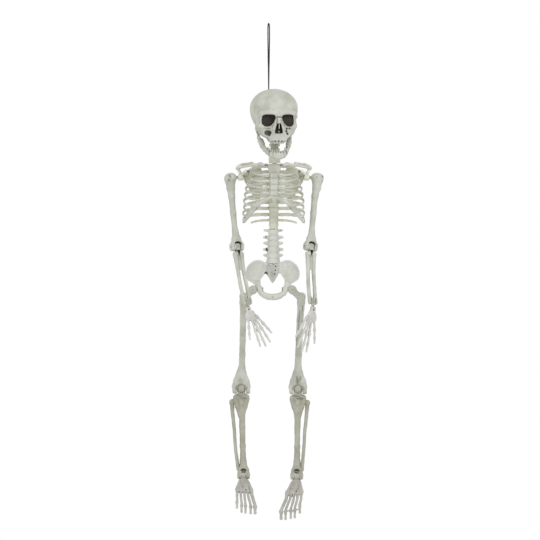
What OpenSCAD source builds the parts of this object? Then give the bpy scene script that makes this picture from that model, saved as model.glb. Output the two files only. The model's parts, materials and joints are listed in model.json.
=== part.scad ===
// Hanging skeleton figure, jointed at the neck, jaw, waist, shoulders, elbows, wrists,
// hips, knees and ankles, hung from a cord loop knotted inside the skull.
// Millimetres. +Z up, the figure faces -Y. The origin is the inside of the loop's top bend.

/* [Cord] */
// Diameter of one strand of the hanging cord
cord_d = 2.5; // [2:0.1:3]

/* [Skull] */
// Width of the braincase
skull_w = 99; // [96:1:102]
// Front to back length of the braincase
skull_l = 124; // [120:1:126]
// Wall of the moulded skull halves
skull_wall = 2; // [1.6:0.1:2.4]
// How far the face is turned towards the figure's left
skull_yaw = 9; // [0:1:12]

/* [Drops below the loop] */
// Centre of the braincase
skull_drop = 184.5; // [184:0.1:185]
// Pin between the neck and the chest
neck_drop = 301; // [300:1:303]
// Shoulder axes
shoulder_drop = 319; // [317:1:321]
// Joint line of the waist
waist_drop = 426.5; // [425:0.5:428]
// Hip axes
hip_drop = 553; // [551:1:555]

/* [Limbs] */
// Middle of the chest to the middle of a shoulder ball
shoulder_half = 89.5; // [88:0.5:92]
// Shoulder to elbow
upper_arm = 145.5; // [140:0.5:150]
// Elbow to wrist
forearm_len = 137; // [130:1:142]
// Wrist to the tip of the middle finger
hand_len = 98; // [90:1:100]
// Middle of the pelvis to the middle of a femoral head
hip_half = 41; // [40:0.5:42]
// Hip to knee
thigh_len = 206; // [200:1:212]
// Knee to ankle
shin_len = 182; // [176:1:188]
// Ankle to the tip of the big toe
foot_len = 95; // [90:1:98]

/* [Pins] */
// Radius of the limb hinge pins
pin_r = 2; // [1.8:0.1:2.2]
// Radial clearance of a running fit
run_fit = 0.05; // [0.02:0.01:0.08]

/* [Hidden] */
$fn = 48;
RIGHT = 0;
LEFT = 1;
side_sign = [-1, 1];
bone = [0.84, 0.84, 0.78];
bone_dark = [0.62, 0.61, 0.55];
steel = [0.65, 0.65, 0.66];
black = [0.08, 0.08, 0.08];

// Lines down the figure, in x: the spine leans a little as the figure hangs
skull_x = 11.6;
neck_x = 12;
torso_x = 10.5;
waist_x = 9.5;
pelvis_x = 8;
// Places in y
skull_y = -14;
neck_y = 6;
spine_y = 12;
chest_y = -18;
joint_y = -4;
head_r = skull_w / 2;

// Rest pose of each limb piece, [right, left]: tilt outward and tilt forward, in degrees
upper_out = [-5.1, -5.2];
upper_fwd = [6.4, 6.4];
fore_out = [-10.8, 2.1];
fore_fwd = [16.6, 20.8];
hand_bend = [15, -9];
hand_turn = [0, 35];
thigh_out = [6.7, 3.3];
thigh_fwd = [0.6, 0.6];
shin_out = [-1.5, -0.8];
shin_fwd = [-1, -1];
foot_fwd = [34, 15];

function unit(v) = v / norm(v);
function limb_dir(i, out, fwd) =
    [side_sign[i] * sin(out[i]) * cos(fwd[i]), -sin(fwd[i]), -cos(out[i]) * cos(fwd[i])];
function square_to(v, d) = unit(v - (v * d) * d);

// Joint places and axes
skull_c = [skull_x, skull_y, -skull_drop];
function skull_to_row(p) = skull_c
    + [p[0] * cos(skull_yaw) - p[1] * sin(skull_yaw),
       p[0] * sin(skull_yaw) + p[1] * cos(skull_yaw), p[2]];
jaw_local = [0, 0, -42];
jaw_pos = skull_to_row(jaw_local);
jaw_axis = [cos(skull_yaw), sin(skull_yaw), 0];
neck_pos = [neck_x, neck_y, -neck_drop];
waist_pos = [waist_x, spine_y, -waist_drop];
function shoulder_pos(i) = [torso_x + side_sign[i] * shoulder_half, joint_y, -shoulder_drop];
function upper_dir(i) = limb_dir(i, upper_out, upper_fwd);
function elbow_pos(i) = shoulder_pos(i) + upper_arm * upper_dir(i);
function fore_dir(i) = limb_dir(i, fore_out, fore_fwd);
function elbow_axis(i) = unit(cross(fore_dir(i), upper_dir(i)));
function wrist_pos(i) = elbow_pos(i) + forearm_len * fore_dir(i);
function wrist_axis(i) = square_to([cos(hand_turn[i]), sin(hand_turn[i]), 0], fore_dir(i));
function hand_dir(i) =
    fore_dir(i) * cos(hand_bend[i]) - cross(wrist_axis(i), fore_dir(i)) * sin(hand_bend[i]);
function hip_pos(i) = [pelvis_x + side_sign[i] * hip_half, joint_y, -hip_drop];
function thigh_dir(i) = limb_dir(i, thigh_out, thigh_fwd);
function knee_pos(i) = hip_pos(i) + thigh_len * thigh_dir(i);
function shin_dir(i) = limb_dir(i, shin_out, shin_fwd);
function ankle_pos(i) = knee_pos(i) + shin_len * shin_dir(i);
function foot_dir(i) = [0, -sin(foot_fwd[i]), -cos(foot_fwd[i])];

// ---- Helpers ----

// Draws its children in a frame with origin o and the given x and z directions
module in_frame(o, x, z) {
    y = cross(z, x);
    multmatrix([[x[0], y[0], z[0], o[0]], [x[1], y[1], z[1], o[1]], [x[2], y[2], z[2], o[2]],
        [0, 0, 0, 1]]) children();
}

// Round bar from p to q
module bar(p, q, r1, r2) {
    v = q - p;
    translate(p) rotate([0, acos(v[2] / norm(v)), atan2(v[1], v[0])])
        cylinder(h = norm(v), r1 = r1, r2 = r2);
}

// Chain of round bars with slightly swollen ball corners
swell = 1.08;
ball_turn = 37;
module rod(points, r) {
    last = len(points) - 1;
    for (i = [0 : last - 1]) bar(points[i], points[i + 1], r, r);
    for (i = [0 : last]) {
        v = points[min(i + 1, last)] - points[max(i - 1, 0)];
        translate(points[i]) rotate([0, acos(v[2] / norm(v)), atan2(v[1], v[0])]) rotate([0, 0, ball_turn])
            sphere(r = r * swell);
    }
}

// Turned bone down -Z: outline is a list of [depth, radius]
module turned(outline) {
    rotate_extrude() polygon(concat([[0, -outline[0][0]]], [for (p = outline) [p[1], -p[0]]],
        [[0, -outline[len(outline) - 1][0]]]));
}

module x_rod(r, from, to) translate([from, 0, 0]) rotate([0, 90, 0]) cylinder(h = to - from, r = r);
module y_rod(r, from, to) translate([0, from, 0]) rotate([-90, 0, 0]) cylinder(h = to - from, r = r);
module box_at(lo, hi) translate(lo) cube(hi - lo);

// Plate in the x-z plane from y = from to y = to
module plate(points, from, to)
    translate([0, to, 0]) rotate([90, 0, 0]) linear_extrude(height = to - from) polygon(points);

// ---- Cord ----

hole_r = 3.2;
knot_r = 5.5;
knot_z = -145.4;
// One strand from the knot up to the bend; the other strand mirrors it in x and y
strand = [[0, -1.5, -144], [0, -1.5, -138], [0.1, -1.6, -130], [0.2, -1.7, -122], [0.3, -1.9, -114],
    [0.4, -2.2, -106], [0.5, -2.5, -98], [0.6, -2.8, -90], [0.8, -3.1, -82], [1, -3.4, -74],
    [1.1, -3.7, -66], [1.2, -4, -58], [1.3, -4.3, -50], [1.4, -4.6, -42], [1.5, -4.9, -34],
    [1.6, -5.2, -26], [1.6, -5.5, -18], [1.6, -5.5, -11], [1.4, -5.2, -5], [1, -3.8, -1]];
bend_top = [0, 0, 1.2];
route = concat(strand, [bend_top],
    [for (i = [len(strand) - 1 : -1 : 0]) [-strand[i][0], -strand[i][1], strand[i][2]]]);
cord_sides = 8;

function along(i) = unit(route[min(i + 1, len(route) - 1)] - route[max(i - 1, 0)]);
function ring(i) = let (t = along(i), u = square_to([1, 0, 0], t), v = cross(t, u))
    [for (k = [0 : cord_sides - 1]) let (a = 360 * k / cord_sides)
        route[i] + cord_d / 2 * (cos(a) * u + sin(a) * v)];

module hanging_cord() {
    n = cord_sides;
    last = len(route) - 1;
    rings = [for (i = [0 : last]) for (p = ring(i)) p];
    skin = [for (i = [0 : last - 1]) for (k = [0 : n - 1])
        [i * n + k, (i + 1) * n + k, (i + 1) * n + (k + 1) % n, i * n + (k + 1) % n]];
    caps = [[for (k = [0 : n - 1]) k], [for (k = [n - 1 : -1 : 0]) last * n + k]];
    color(black) polyhedron(rings, concat(skin, caps), convexity = 6);
}

module cord_knot() color(black) translate([0, 0, knot_z]) sphere(r = knot_r);

// ---- Skull and jaw ----

seam_y = 6;
base_z = -44;
base_t = 4;
spigot_r = 6;
jaw_pin_r = 1.5;
ear_in = 25;
ear_out = 31;
eye_c = [20, -17];
eye_r = 12.5;
mouth_z = -63;
arch_r = 22;
arch_y = -34;
face_outline = [[0, 0], [42, -3], [44, -18], [41, -31], [34, -38], [24, -43], [19.5, -50], [18, mouth_z],
    [0, mouth_z]];

// Braincase: a capsule lying front to back
module braincase(r) {
    reach = (skull_l - skull_w) / 2;
    y_rod(r, -reach, reach);
    for (y = [-reach, reach]) translate([0, y, 0]) sphere(r = r);
}

module both_sides() {
    children();
    mirror([1, 0, 0]) children();
}

module face_solid() {
    intersection() {
        both_sides() plate(face_outline, -60, -16);
        translate([0, -16, mouth_z - 1]) cylinder(h = 70, r = 44);
    }
}

module skull_solid() {
    difference() {
        union() {
            difference() {
                union() {
                    braincase(head_r);
                    face_solid();
                }
                braincase(head_r - skull_wall);
                box_at([-70, -15, -90], [70, 80, base_z]);
            }
            intersection() {
                braincase(head_r - 1);
                box_at([-60, -45, base_z], [60, 60, base_z + base_t]);
            }
        }
        // Eye sockets and nose
        for (s = [-1, 1]) translate([s * eye_c[0], 0, eye_c[1]]) y_rod(eye_r, -70, -30);
        plate([[0, -25], [7.5, -40], [5, -44], [-5, -44], [-7.5, -40]], -70, -46);
        // Palate behind the teeth
        translate([0, arch_y, mouth_z - 1]) cylinder(h = 14, r = 13);
        box_at([-13, arch_y, mouth_z - 1], [13, -10, mouth_z + 13]);
        // Neck socket and cord hole
        skull_frame_inverse() {
            translate([neck_x, neck_y, -skull_drop - 60]) cylinder(h = 30, r = spigot_r + run_fit);
            translate([0, 0, -skull_drop + 30]) cylinder(h = 30, r = hole_r);
        }
    }
}

module skull_frame() translate(skull_c) rotate([0, 0, skull_yaw]) children();
module skull_frame_inverse() rotate([0, 0, -skull_yaw]) translate([-skull_x, -skull_y, 0])
    translate([0, 0, skull_drop]) children();

module skull_front() color(bone) skull_frame() difference() {
    union() {
        intersection() {
            skull_solid();
            box_at([-70, -90, -90], [70, seam_y, 70]);
        }
        // Ears that carry the jaw
        for (s = [-1, 1]) translate(jaw_local) {
            if (s < 0) x_rod(4, -ear_out, -ear_in);
            if (s > 0) x_rod(4, ear_in, ear_out);
        }
    }
    translate(jaw_local) x_rod(jaw_pin_r, -40, 40);
}

module skull_back() color(bone) skull_frame() intersection() {
    skull_solid();
    box_at([-70, seam_y, -90], [70, 90, 70]);
}

// Jaw, in the frame of its hinge, hanging open
jaw_arch_y = -33;
module jaw() color(bone) in_frame(jaw_pos, jaw_axis, [0, 0, 1]) difference() {
    union() {
        translate([0, jaw_arch_y, -55]) rotate([0, 0, 180]) rotate_extrude(angle = 180)
            polygon([[14, 0], [18, -1], [22, 5], [23, 12], [21, 17], [16, 17]]);
        for (s = [-1, 1]) {
            rod([[s * 18.5, jaw_arch_y, -47], [s * 27, -12, -36], [s * 33.5, -1, -14]], 4.5);
            rod([[s * 33.5, -1, -14], [s * 33.5, 0, 0]], 1.7);
            if (s < 0) x_rod(4, -35.2, -32.3);
            else x_rod(4, 32.3, 35.2);
        }
    }
    x_rod(jaw_pin_r + run_fit, -40, 40);
}

module jaw_pins() color(steel) in_frame(jaw_pos, jaw_axis, [0, 0, 1]) for (m = [0, 1])
    mirror([m, 0, 0]) {
        x_rod(jaw_pin_r, ear_in, 35.6);
        x_rod(2.6, 35.6, 37);
    }

// ---- Neck, chest and waist ----

neck_top = skull_drop - base_z + 0.4;
neck_tongue_w = 10;
neck_r = 11.2;
module neck() color(bone) difference() {
    union() {
        translate([neck_x, neck_y, 0]) {
            turned([[neck_top - 8.2, 8.5], [neck_top - 4.8, 8.5], [neck_top - 4.8, spigot_r],
                [neck_top, spigot_r], [neck_top, 9], for (k = [0 : 5]) each
                [[neck_top + 1 + 9.6 * k, neck_r], [neck_top + 5.5 + 9.6 * k, neck_r],
                [neck_top + 7 + 9.6 * k, 8.6], [neck_top + 9 + 9.6 * k, 8.6]], [neck_top + 59, 8.6]]);
        }
        translate(neck_pos) {
            x_rod(7, -neck_tongue_w / 2, neck_tongue_w / 2);
            box_at([-neck_tongue_w / 2, -6, 0], [neck_tongue_w / 2, 6, 14]);
        }
    }
    translate(neck_pos) x_rod(pin_r + run_fit, -20, 20);
}

module neck_pin() color(steel) translate(neck_pos) x_rod(pin_r, -11, 11);

// Half widths and side heights of the rib loops, from the top
rib_w = [48, 52, 56, 60, 62, 64, 63.8, 65.5, 64.5];
rib_top = 305;
rib_pitch = 12.65;
rib_tilt = 16.2;
rib_r = 36;
rib_section = [[-1.6, -1.8], [-0.8, -3], [0.8, -3], [1.6, -1.8], [1.6, 1.8], [0.8, 3], [-0.8, 3], [-1.6, 1.8]];
// How far forward each loop runs before it meets the costal arch, in degrees from the side
rib_front = [90, 90, 90, 90, 90, 75, 54, 35, 18];

module rib_frame(k) translate([torso_x, chest_y, -rib_top - rib_pitch * k]) rotate([rib_tilt, 0, 0]) children();
module rib_arc(k, a0, a1) translate([rib_w[k] - rib_r - 1.6, 0, 0]) rotate([0, 0, a0])
    rotate_extrude(angle = a1 - a0) translate([rib_r, 0]) polygon(rib_section);
module rib_straight(k, y) translate([0, y, 0]) rotate([90, 0, 90])
    linear_extrude(height = rib_w[k] - rib_r - 1.6) polygon(rib_section);

breast = [[12, -295], [12.5, -302], [9.5, -309], [7.2, -316], [7.2, -358], [4.5, -370], [0, -376]];
function rib_end(k) = let (a = rib_front[k]) [rib_w[k] - rib_r - 1.6 + rib_r * cos(a),
    chest_y - rib_r * sin(a) * cos(rib_tilt), -rib_top - rib_pitch * k - rib_r * sin(a) * sin(rib_tilt)];
module rib_cage_front() color(bone) union() {
    for (k = [0 : len(rib_w) - 1]) rib_frame(k) both_sides() {
        rib_arc(k, -min(90, rib_front[k] + 3), 0);
        if (rib_front[k] == 90) rib_straight(k, -rib_r);
    }
    translate([torso_x, 0, 0]) {
        both_sides() plate(concat([[0, -295]], breast), -57, -50);
        for (m = [0, 1]) mirror([m, 0, 0]) {
            bar([6, -53, -363], rib_end(5) + [2, 1, -2], 3.6, 3);
            bar(rib_end(5) + [-1, 0, 1], rib_end(6) + [2, 1, -2], 3.3, 2.9);
            bar(rib_end(6) + [-1, 0, 1], rib_end(7) + [2, 1, -2], 3.2, 2.8);
            bar(rib_end(7) + [-1, 0, 1], rib_end(8) + [1, 1, -2], 3, 2.8);
        }
    }
}

socket_z = -waist_drop;
socket_depth = 12.5;
waist_peg_r = 4;
waist_pin_y = 4.4;
waist_pin_r = 1.2;
waist_pin_z = 6;
module rib_cage_back() color(bone) difference() {
    union() {
        for (k = [0 : len(rib_w) - 1]) rib_frame(k) both_sides() {
            rib_arc(k, 0, 90);
            rib_straight(k, rib_r);
        }
        // Thoracic column
        translate([torso_x, spine_y, 0]) turned([[309.5, 8], for (k = [0 : 10]) each
            [[311 + 10.4 * k, 9.6], [316 + 10.4 * k, 9.6], [317.5 + 10.4 * k, 7.6], [319.5 + 10.4 * k, 7.6]],
            [waist_drop - 0.3, 7.6]]);
        for (k = [0 : 10]) bar([torso_x, spine_y + 5, -313.5 - 10.4 * k],
            [torso_x, spine_y + 14, -318 - 10.4 * k], 2.4, 1.8);
        // Fork that holds the neck
        translate(neck_pos) {
            x_rod(8.5, -11, 11);
            box_at([-11, -6, -11], [11, 8.5, 0]);
            box_at([-10.6, 6, -12], [10.6, 13, 7]);
        }
    }
    translate(neck_pos) {
        box_at([-neck_tongue_w / 2 - 0.4, -20, -8], [neck_tongue_w / 2 + 0.4, 10.5, 20]);
        x_rod(pin_r, -20, 20);
    }
    translate([waist_x, spine_y, socket_z - 1]) cylinder(h = socket_depth + 1, r = waist_peg_r + run_fit);
    translate([waist_x, spine_y + waist_pin_y, socket_z + waist_pin_z]) x_rod(waist_pin_r, -20, 20);
}

module waist_pin() color(steel) translate([waist_x, spine_y + waist_pin_y, socket_z + waist_pin_z])
    x_rod(waist_pin_r, -6.4, 6.4);

module lumbar_spine() color(bone) translate([waist_x, spine_y, 0]) union() {
    groove = waist_drop - waist_pin_z;
    turned([[waist_drop - 12, waist_peg_r - 0.6], [waist_drop - 11, waist_peg_r], [groove - 1.6, waist_peg_r],
        [groove - 1.6, 3], [groove + 1.6, 3], [groove + 1.6, waist_peg_r], [waist_drop, waist_peg_r],
        [waist_drop, 9], for (k = [0 : 4]) each
        [[waist_drop + 1 + 13.6 * k, 12.4], [waist_drop + 9 + 13.6 * k, 12.4],
        [waist_drop + 10.5 + 13.6 * k, 8.6], [waist_drop + 13 + 13.6 * k, 8.6]], [500, 8.6]]);
    for (k = [0 : 4]) translate([0, 4, -waist_drop - 5 - 13.6 * k]) x_rod(2.3, -21.5, 21.5);
    for (k = [0 : 4]) bar([0, 6, -waist_drop - 5 - 13.6 * k], [0, 17, -waist_drop - 7 - 13.6 * k], 3, 2.2);
}

// ---- Shoulder girdle ----

boss_r = 7;
boss_in = 62;
boss_out = 74.5;
peg_r = 3;
peg_flange_r = 4.6;
module on_side(i, x) translate([x, 0, 0]) mirror([i == RIGHT ? 1 : 0, 0, 0]) children();

module collar_bone(i) color(bone) on_side(i, torso_x)
    rod([[9, -52, -297], [24, -53, -292], [44, -40, -289], [62, -16, -292], [77, -4, -296]], 3.4);

module shoulder_blade(i) color(bone) on_side(i, torso_x) difference() {
    union() {
        plate([[26, -305], [34, -296], [58, -304], [66, -316], [64, -326], [48, -346], [38, -368],
            [30, -372], [25, -345]], 23, 26);
        rod([[30, 25, -306], [52, 24, -294], [72, 10, -289], [79, -2, -291]], 3.2);
        rod([[58, 24, -314], [65, 8, joint_top()], [68, joint_y, joint_top()]], 4);
        translate([0, joint_y, -shoulder_drop]) x_rod(boss_r, boss_in, boss_out);
        rod([[66, joint_y - 4, -313], [60, -20, -306]], 3);
    }
    translate([0, joint_y, -shoulder_drop]) x_rod(peg_r + run_fit, boss_in - 30, boss_out + 30);
    translate([0, joint_y, -shoulder_drop]) x_rod(boss_r + 0.8, boss_in - 6, boss_in);
}
function joint_top() = -shoulder_drop + 6;

// Peg turning in a boss, with a flat eye at its outer end
module peg(reach, boss_a, boss_b, r, flange_r, eye_r, eye_t) difference() {
    union() {
        x_rod(r, boss_a - 0.3, reach - eye_r + 1);
        x_rod(flange_r, boss_a - 2.8, boss_a - 0.3);
        translate([reach, 0, 0]) y_rod(eye_r, -eye_t / 2, eye_t / 2);
    }
    translate([reach, 0, 0]) y_rod(eye_pin_r + run_fit, -10, 10);
}
eye_pin_r = 1.5;

shoulder_eye_r = 5.5;
eye_t = 4;
module shoulder_peg(i) color(bone_dark) on_side(i, torso_x) translate([0, joint_y, -shoulder_drop])
    difference() {
        peg(shoulder_half, boss_in, boss_out, peg_r, peg_flange_r, shoulder_eye_r, eye_t);
        peg_flats(boss_out + 0.6, shoulder_half - shoulder_eye_r + 1, eye_t);
    }
// Flattens the peg where it enters a slot
module peg_flats(from, to, t) for (m = [0, 1]) mirror([0, m, 0])
    box_at([from, t / 2, -10], [to + 1, 10, 10]);
module shoulder_pin(i) color(steel) translate(shoulder_pos(i)) y_rod(eye_pin_r, -12, 12);

// ---- Arms ----

ball_r = 13;
slot_t = 4.8;
elbow_r = 9.5;
elbow_half = 13.5;
elbow_tongue_r = 8.5;
elbow_tongue_w = 9.4;
play = 0.5;
module humerus(i) color(bone) difference() {
    union() {
        translate(shoulder_pos(i)) sphere(r = ball_r);
        translate(shoulder_pos(i) + [side_sign[i] * 5, 0, -5]) sphere(r = 9);
        in_frame(shoulder_pos(i), elbow_axis(i), -upper_dir(i)) {
            turned([[4, 10], [16, 9.5], [30, 7], [60, 6], [95, 5.6], [115, 6], [128, 8], [upper_arm - 8, 9]]);
            translate([0, 0, -upper_arm]) {
                x_rod(elbow_r, -elbow_half, elbow_half);
                intersection() {
                    translate([0, 0, 8]) y_rod(13, -6.5, 6.5);
                    box_at([-elbow_half, -7, 0], [elbow_half, 7, 22]);
                }
            }
        }
    }
    // Slot and pin hole for the shoulder peg
    on_side(i, shoulder_pos(i)[0]) translate([0, joint_y, -shoulder_drop]) {
        box_at([-17, -slot_t / 2, -4.5], [7, slot_t / 2, 17]);
        y_rod(7, -slot_t / 2, slot_t / 2);
        y_rod(eye_pin_r, -20, 20);
    }
    in_frame(elbow_pos(i), elbow_axis(i), -upper_dir(i)) {
        half = elbow_tongue_w / 2 + play;
        x_rod(elbow_tongue_r + 1.5, -half, half);
        box_at([-half, -20, -20], [half, 20, 0]);
        x_rod(pin_r, -20, 20);
    }
}

module elbow_pin(i) color(steel) translate(elbow_pos(i)) in_frame([0, 0, 0], elbow_axis(i), -upper_dir(i))
    x_rod(pin_r, -elbow_half + 0.5, elbow_half - 0.5);

bars_x = 7;
wrist_spigot_r = 2;
wrist_eye_r = 3.2;
wrist_eye_t = 3;
wrist_pin_r = 1.2;
bridge_top = 20;
bridge_end = 10;
module forearm(i) color(bone) in_frame(elbow_pos(i), elbow_axis(i), -fore_dir(i)) difference() {
    union() {
        x_rod(elbow_tongue_r, -elbow_tongue_w / 2, elbow_tongue_w / 2);
        box_at([-elbow_tongue_w / 2, -5, -14], [elbow_tongue_w / 2, 5, 0]);
        rod([[-7.5, 0, -16.5], [7.5, 0, -16.5]], 5);
        for (s = [-1, 1]) rod([[s * bars_x, 0, -18], [s * (bars_x + 0.5), 0, -60],
            [s * bars_x, 0, -forearm_len + bridge_end + 4]], 3.9);
        intersection() {
            translate([0, 0, -forearm_len]) cylinder(h = 40, r = 11);
            box_at([-11, -4.6, -forearm_len + bridge_end], [11, 4.6, -forearm_len + bridge_top]);
        }
    }
    x_rod(pin_r + run_fit, -20, 20);
    translate([0, 0, -forearm_len]) cylinder(h = bridge_top + 6, r = wrist_spigot_r + run_fit);
    translate([0, 0, -forearm_len + bridge_top]) cylinder(h = 5, r = 3.4);
}

module wrist_peg(i) color(bone_dark) in_frame(wrist_pos(i), wrist_axis(i), -fore_dir(i)) difference() {
    union() {
        x_rod(wrist_eye_r, -wrist_eye_t / 2, wrist_eye_t / 2);
        cylinder(h = bridge_top + 0.6, r = wrist_spigot_r - 0.001);
        translate([0, 0, bridge_top + 0.4]) cylinder(h = 2, r = 3);
        translate([0, 0, 5]) cylinder(h = bridge_end - 5.4, r = 3.2);
    }
    x_rod(wrist_pin_r + run_fit, -20, 20);
    for (m = [0, 1]) mirror([m, 0, 0]) box_at([wrist_eye_t / 2, -9, -5], [9, 9, 5]);
}

module wrist_pin(i) color(steel) in_frame(wrist_pos(i), wrist_axis(i), -fore_dir(i)) x_rod(wrist_pin_r, -5, 5);

// Fingers: angle from the forearm's line towards the thumb side, tip distance, radius
fingers = [[-8, 0.82, 2.1], [6, 0.97, 2.3], [14, 1, 2.4], [22, 0.97, 2.3], [36, 0.84, 2.5]];
palm = [[-9, -8], [9, -8], [13, -16], [12, -27], [2, -31], [-8, -30], [-11, -22]];
finger_root = 0.24;
module finger(angle, reach, r) {
    root = finger_root * hand_len;
    long = reach * hand_len - root;
    rotate([0, -angle, 0]) translate([0, 0, -root]) turned([[0, r * 0.8], [long * 0.12, r * 0.75],
        [long * 0.38, r * 0.8], [long * 0.43, r * 1.2], [long * 0.48, r * 0.8], [long * 0.68, r * 0.7],
        [long * 0.72, r * 1.05], [long * 0.76, r * 0.7], [long * 0.95, r * 0.7], [long, r * 0.3]]);
}
module hand(i) color(bone) in_frame(wrist_pos(i), wrist_axis(i), -hand_dir(i))
    mirror([i == LEFT ? 1 : 0, 0, 0]) difference() {
        union() {
            x_rod(4, -5, 5);
            box_at([-5, -4, -9], [5, 4, 0]);
            plate(palm, -3.5, 3.5);
            for (f = fingers) finger(f[0], f[1], f[2]);
        }
        box_at([-wrist_eye_t / 2 - play / 2, -9, -5], [wrist_eye_t / 2 + play / 2, 9, 9]);
        x_rod(wrist_pin_r, -20, 20);
    }

// ---- Pelvis and legs ----

hip_boss_in = 22;
hip_boss_out = 30.5;
hip_ball_r = 9.5;
hip_eye_r = 4;
ring_z = -541;
wing = [[16, -505], [22, -493], [33, -490], [46, -496], [55, -508], [58, -520], [50, -533], [38, -540],
    [28, -538], [20, -528]];
module pelvis() color(bone) difference() {
    translate([pelvis_x, 0, 0]) union() {
        // Sacrum and tail bone
        plate([[-13, -498], [13, -498], [20, -512], [10, -530], [3, -548], [-3, -548], [-10, -530],
            [-20, -512]], 6, 18);
        // Ring round the opening
        translate([0, 2, ring_z]) rotate([90, 0, 0]) rotate_extrude() translate([28, 0]) circle(r = 4.5);
        rod([[-27, joint_y, -561], [-13, -8, -569], [13, -8, -569], [27, joint_y, -561]], 4.2);
        for (m = [0, 1]) mirror([m, 0, 0]) {
            translate([16, 12, 0]) rotate([0, 0, -22]) translate([-16, 0, 0]) plate(wing, -3, 2.5);
            translate([0, joint_y, -hip_drop]) x_rod(boss_r, hip_boss_in, hip_boss_out);
            rod([[24, 4, -556], [20, 9, -563]], 5);
            bar([26, 3, -541], [31, 5, -527], 6, 4.6);
        }
    }
    for (m = [0, 1]) translate([pelvis_x, joint_y, -hip_drop]) mirror([m, 0, 0]) {
        x_rod(peg_r + run_fit, hip_boss_in - 14, hip_boss_out + 30);
        x_rod(peg_flange_r + 0.6, hip_boss_in - 14, hip_boss_in);
    }
    translate([waist_x, spine_y, -500]) cylinder(h = 10, r = 8.6);
}

module hip_peg(i) color(bone_dark) on_side(i, pelvis_x) translate([0, joint_y, -hip_drop]) difference() {
    peg(hip_half, hip_boss_in, hip_boss_out, peg_r, peg_flange_r, hip_eye_r, eye_t);
    peg_flats(hip_boss_out + 0.6, hip_half - hip_eye_r + 1, eye_t);
}
module hip_pin(i) color(steel) translate(hip_pos(i)) y_rod(eye_pin_r, -8.8, 8.8);

knee_r = 11.5;
knee_half = 18.4;
knee_tongue_r = 8;
knee_tongue_w = 15.4;
module femur(i) {
    s = side_sign[i];
    h = hip_pos(i);
    k = knee_pos(i);
    shaft_top = h + [s * 19, 0, -14];
    d = unit(k - shaft_top);
    long = norm(k - shaft_top);
    color(bone) difference() {
        union() {
            translate(h) sphere(r = hip_ball_r);
            bar(shaft_top + 5 * d, h, 7.4, 6.4);
            in_frame(shaft_top, square_to([1, 0, 0], d), -d) turned([[-9, 3], [-6, 7], [2, 8.6], [14, 8.8],
                [26, 7.2], [50, 6.5], [110, 6], [150, 6.6], [170, 9.5], [long - 9, 11.3]]);
            translate(k) x_rod(knee_r, -knee_half, knee_half);
            translate(k) intersection() {
                translate([0, 0, 7]) y_rod(18, -8.5, 7.5);
                box_at([-knee_half + 0.4, -9, 0], [knee_half - 0.4, 9, 24]);
            }
        }
        on_side(i, h[0]) translate([0, joint_y, -hip_drop]) {
            box_at([-13, -slot_t / 2, -4.5], [3.6, slot_t / 2, 8.5]);
            y_rod(4.8, -slot_t / 2, slot_t / 2);
            y_rod(eye_pin_r, -20, 20);
        }
        translate(k) {
            half = knee_tongue_w / 2 + play;
            x_rod(knee_tongue_r + 3.4, -half, half);
            box_at([-half, -20, -20], [half, 20, 0]);
            box_at([-half, 8, -20], [half, 20, 13]);
            x_rod(pin_r, -30, 30);
        }
    }
}

module knee_pin(i) color(steel) translate(knee_pos(i)) x_rod(pin_r, -knee_half + 0.5, knee_half - 0.5);

ankle_r = 9;
ankle_half = 13;
ankle_tongue_w = 8.4;
module shin(i) {
    s = side_sign[i];
    k = knee_pos(i);
    a = ankle_pos(i);
    color(bone) difference() {
        union() {
            translate(k) {
                x_rod(knee_tongue_r, -knee_tongue_w / 2, knee_tongue_w / 2);
                translate([0, -3, 0]) sphere(r = 7.6);
                box_at([-knee_tongue_w / 2 + 0.3, -6, -16], [knee_tongue_w / 2 - 0.3, 5, 0]);
            }
            intersection() {
                in_frame(k, square_to([1, 0, 0], shin_dir(i)), -shin_dir(i)) turned([[13, 14.6], [16, 15.8],
                    [20, 16], [30, 12.5], [46, 8.2], [80, 7], [120, 6.5], [150, 7.4], [164, 9.6],
                    [shin_len - 7, 11.4]]);
                translate(k) box_at([-30, -9.6, -shin_len], [30, 9, 0]);
            }
            translate(a) x_rod(ankle_r, -ankle_half, ankle_half);
            // Fibula and the webs that join it on
            rod([k + [s * 20, 2, -32], k + [s * 17, 1.5, -92], a + [s * 11, 0.5, 13]], 3.3);
            translate(k + [s * 20, 2, -30]) sphere(r = 5);
            bar(k + [s * 7, -1, -26], k + [s * 20, 2, -30.5], 3.6, 4.1);
        }
        translate(k) x_rod(pin_r + run_fit, -30, 30);
        translate(a) {
            half = ankle_tongue_w / 2 + play;
            x_rod(ankle_r + 1.2, -half, half);
            box_at([-half, -20, -20], [half, 20, 0]);
            x_rod(pin_r, -30, 30);
        }
    }
}

module ankle_pin(i) color(steel) translate(ankle_pos(i)) x_rod(pin_r, -ankle_half + 0.5, ankle_half - 0.5);

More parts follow.
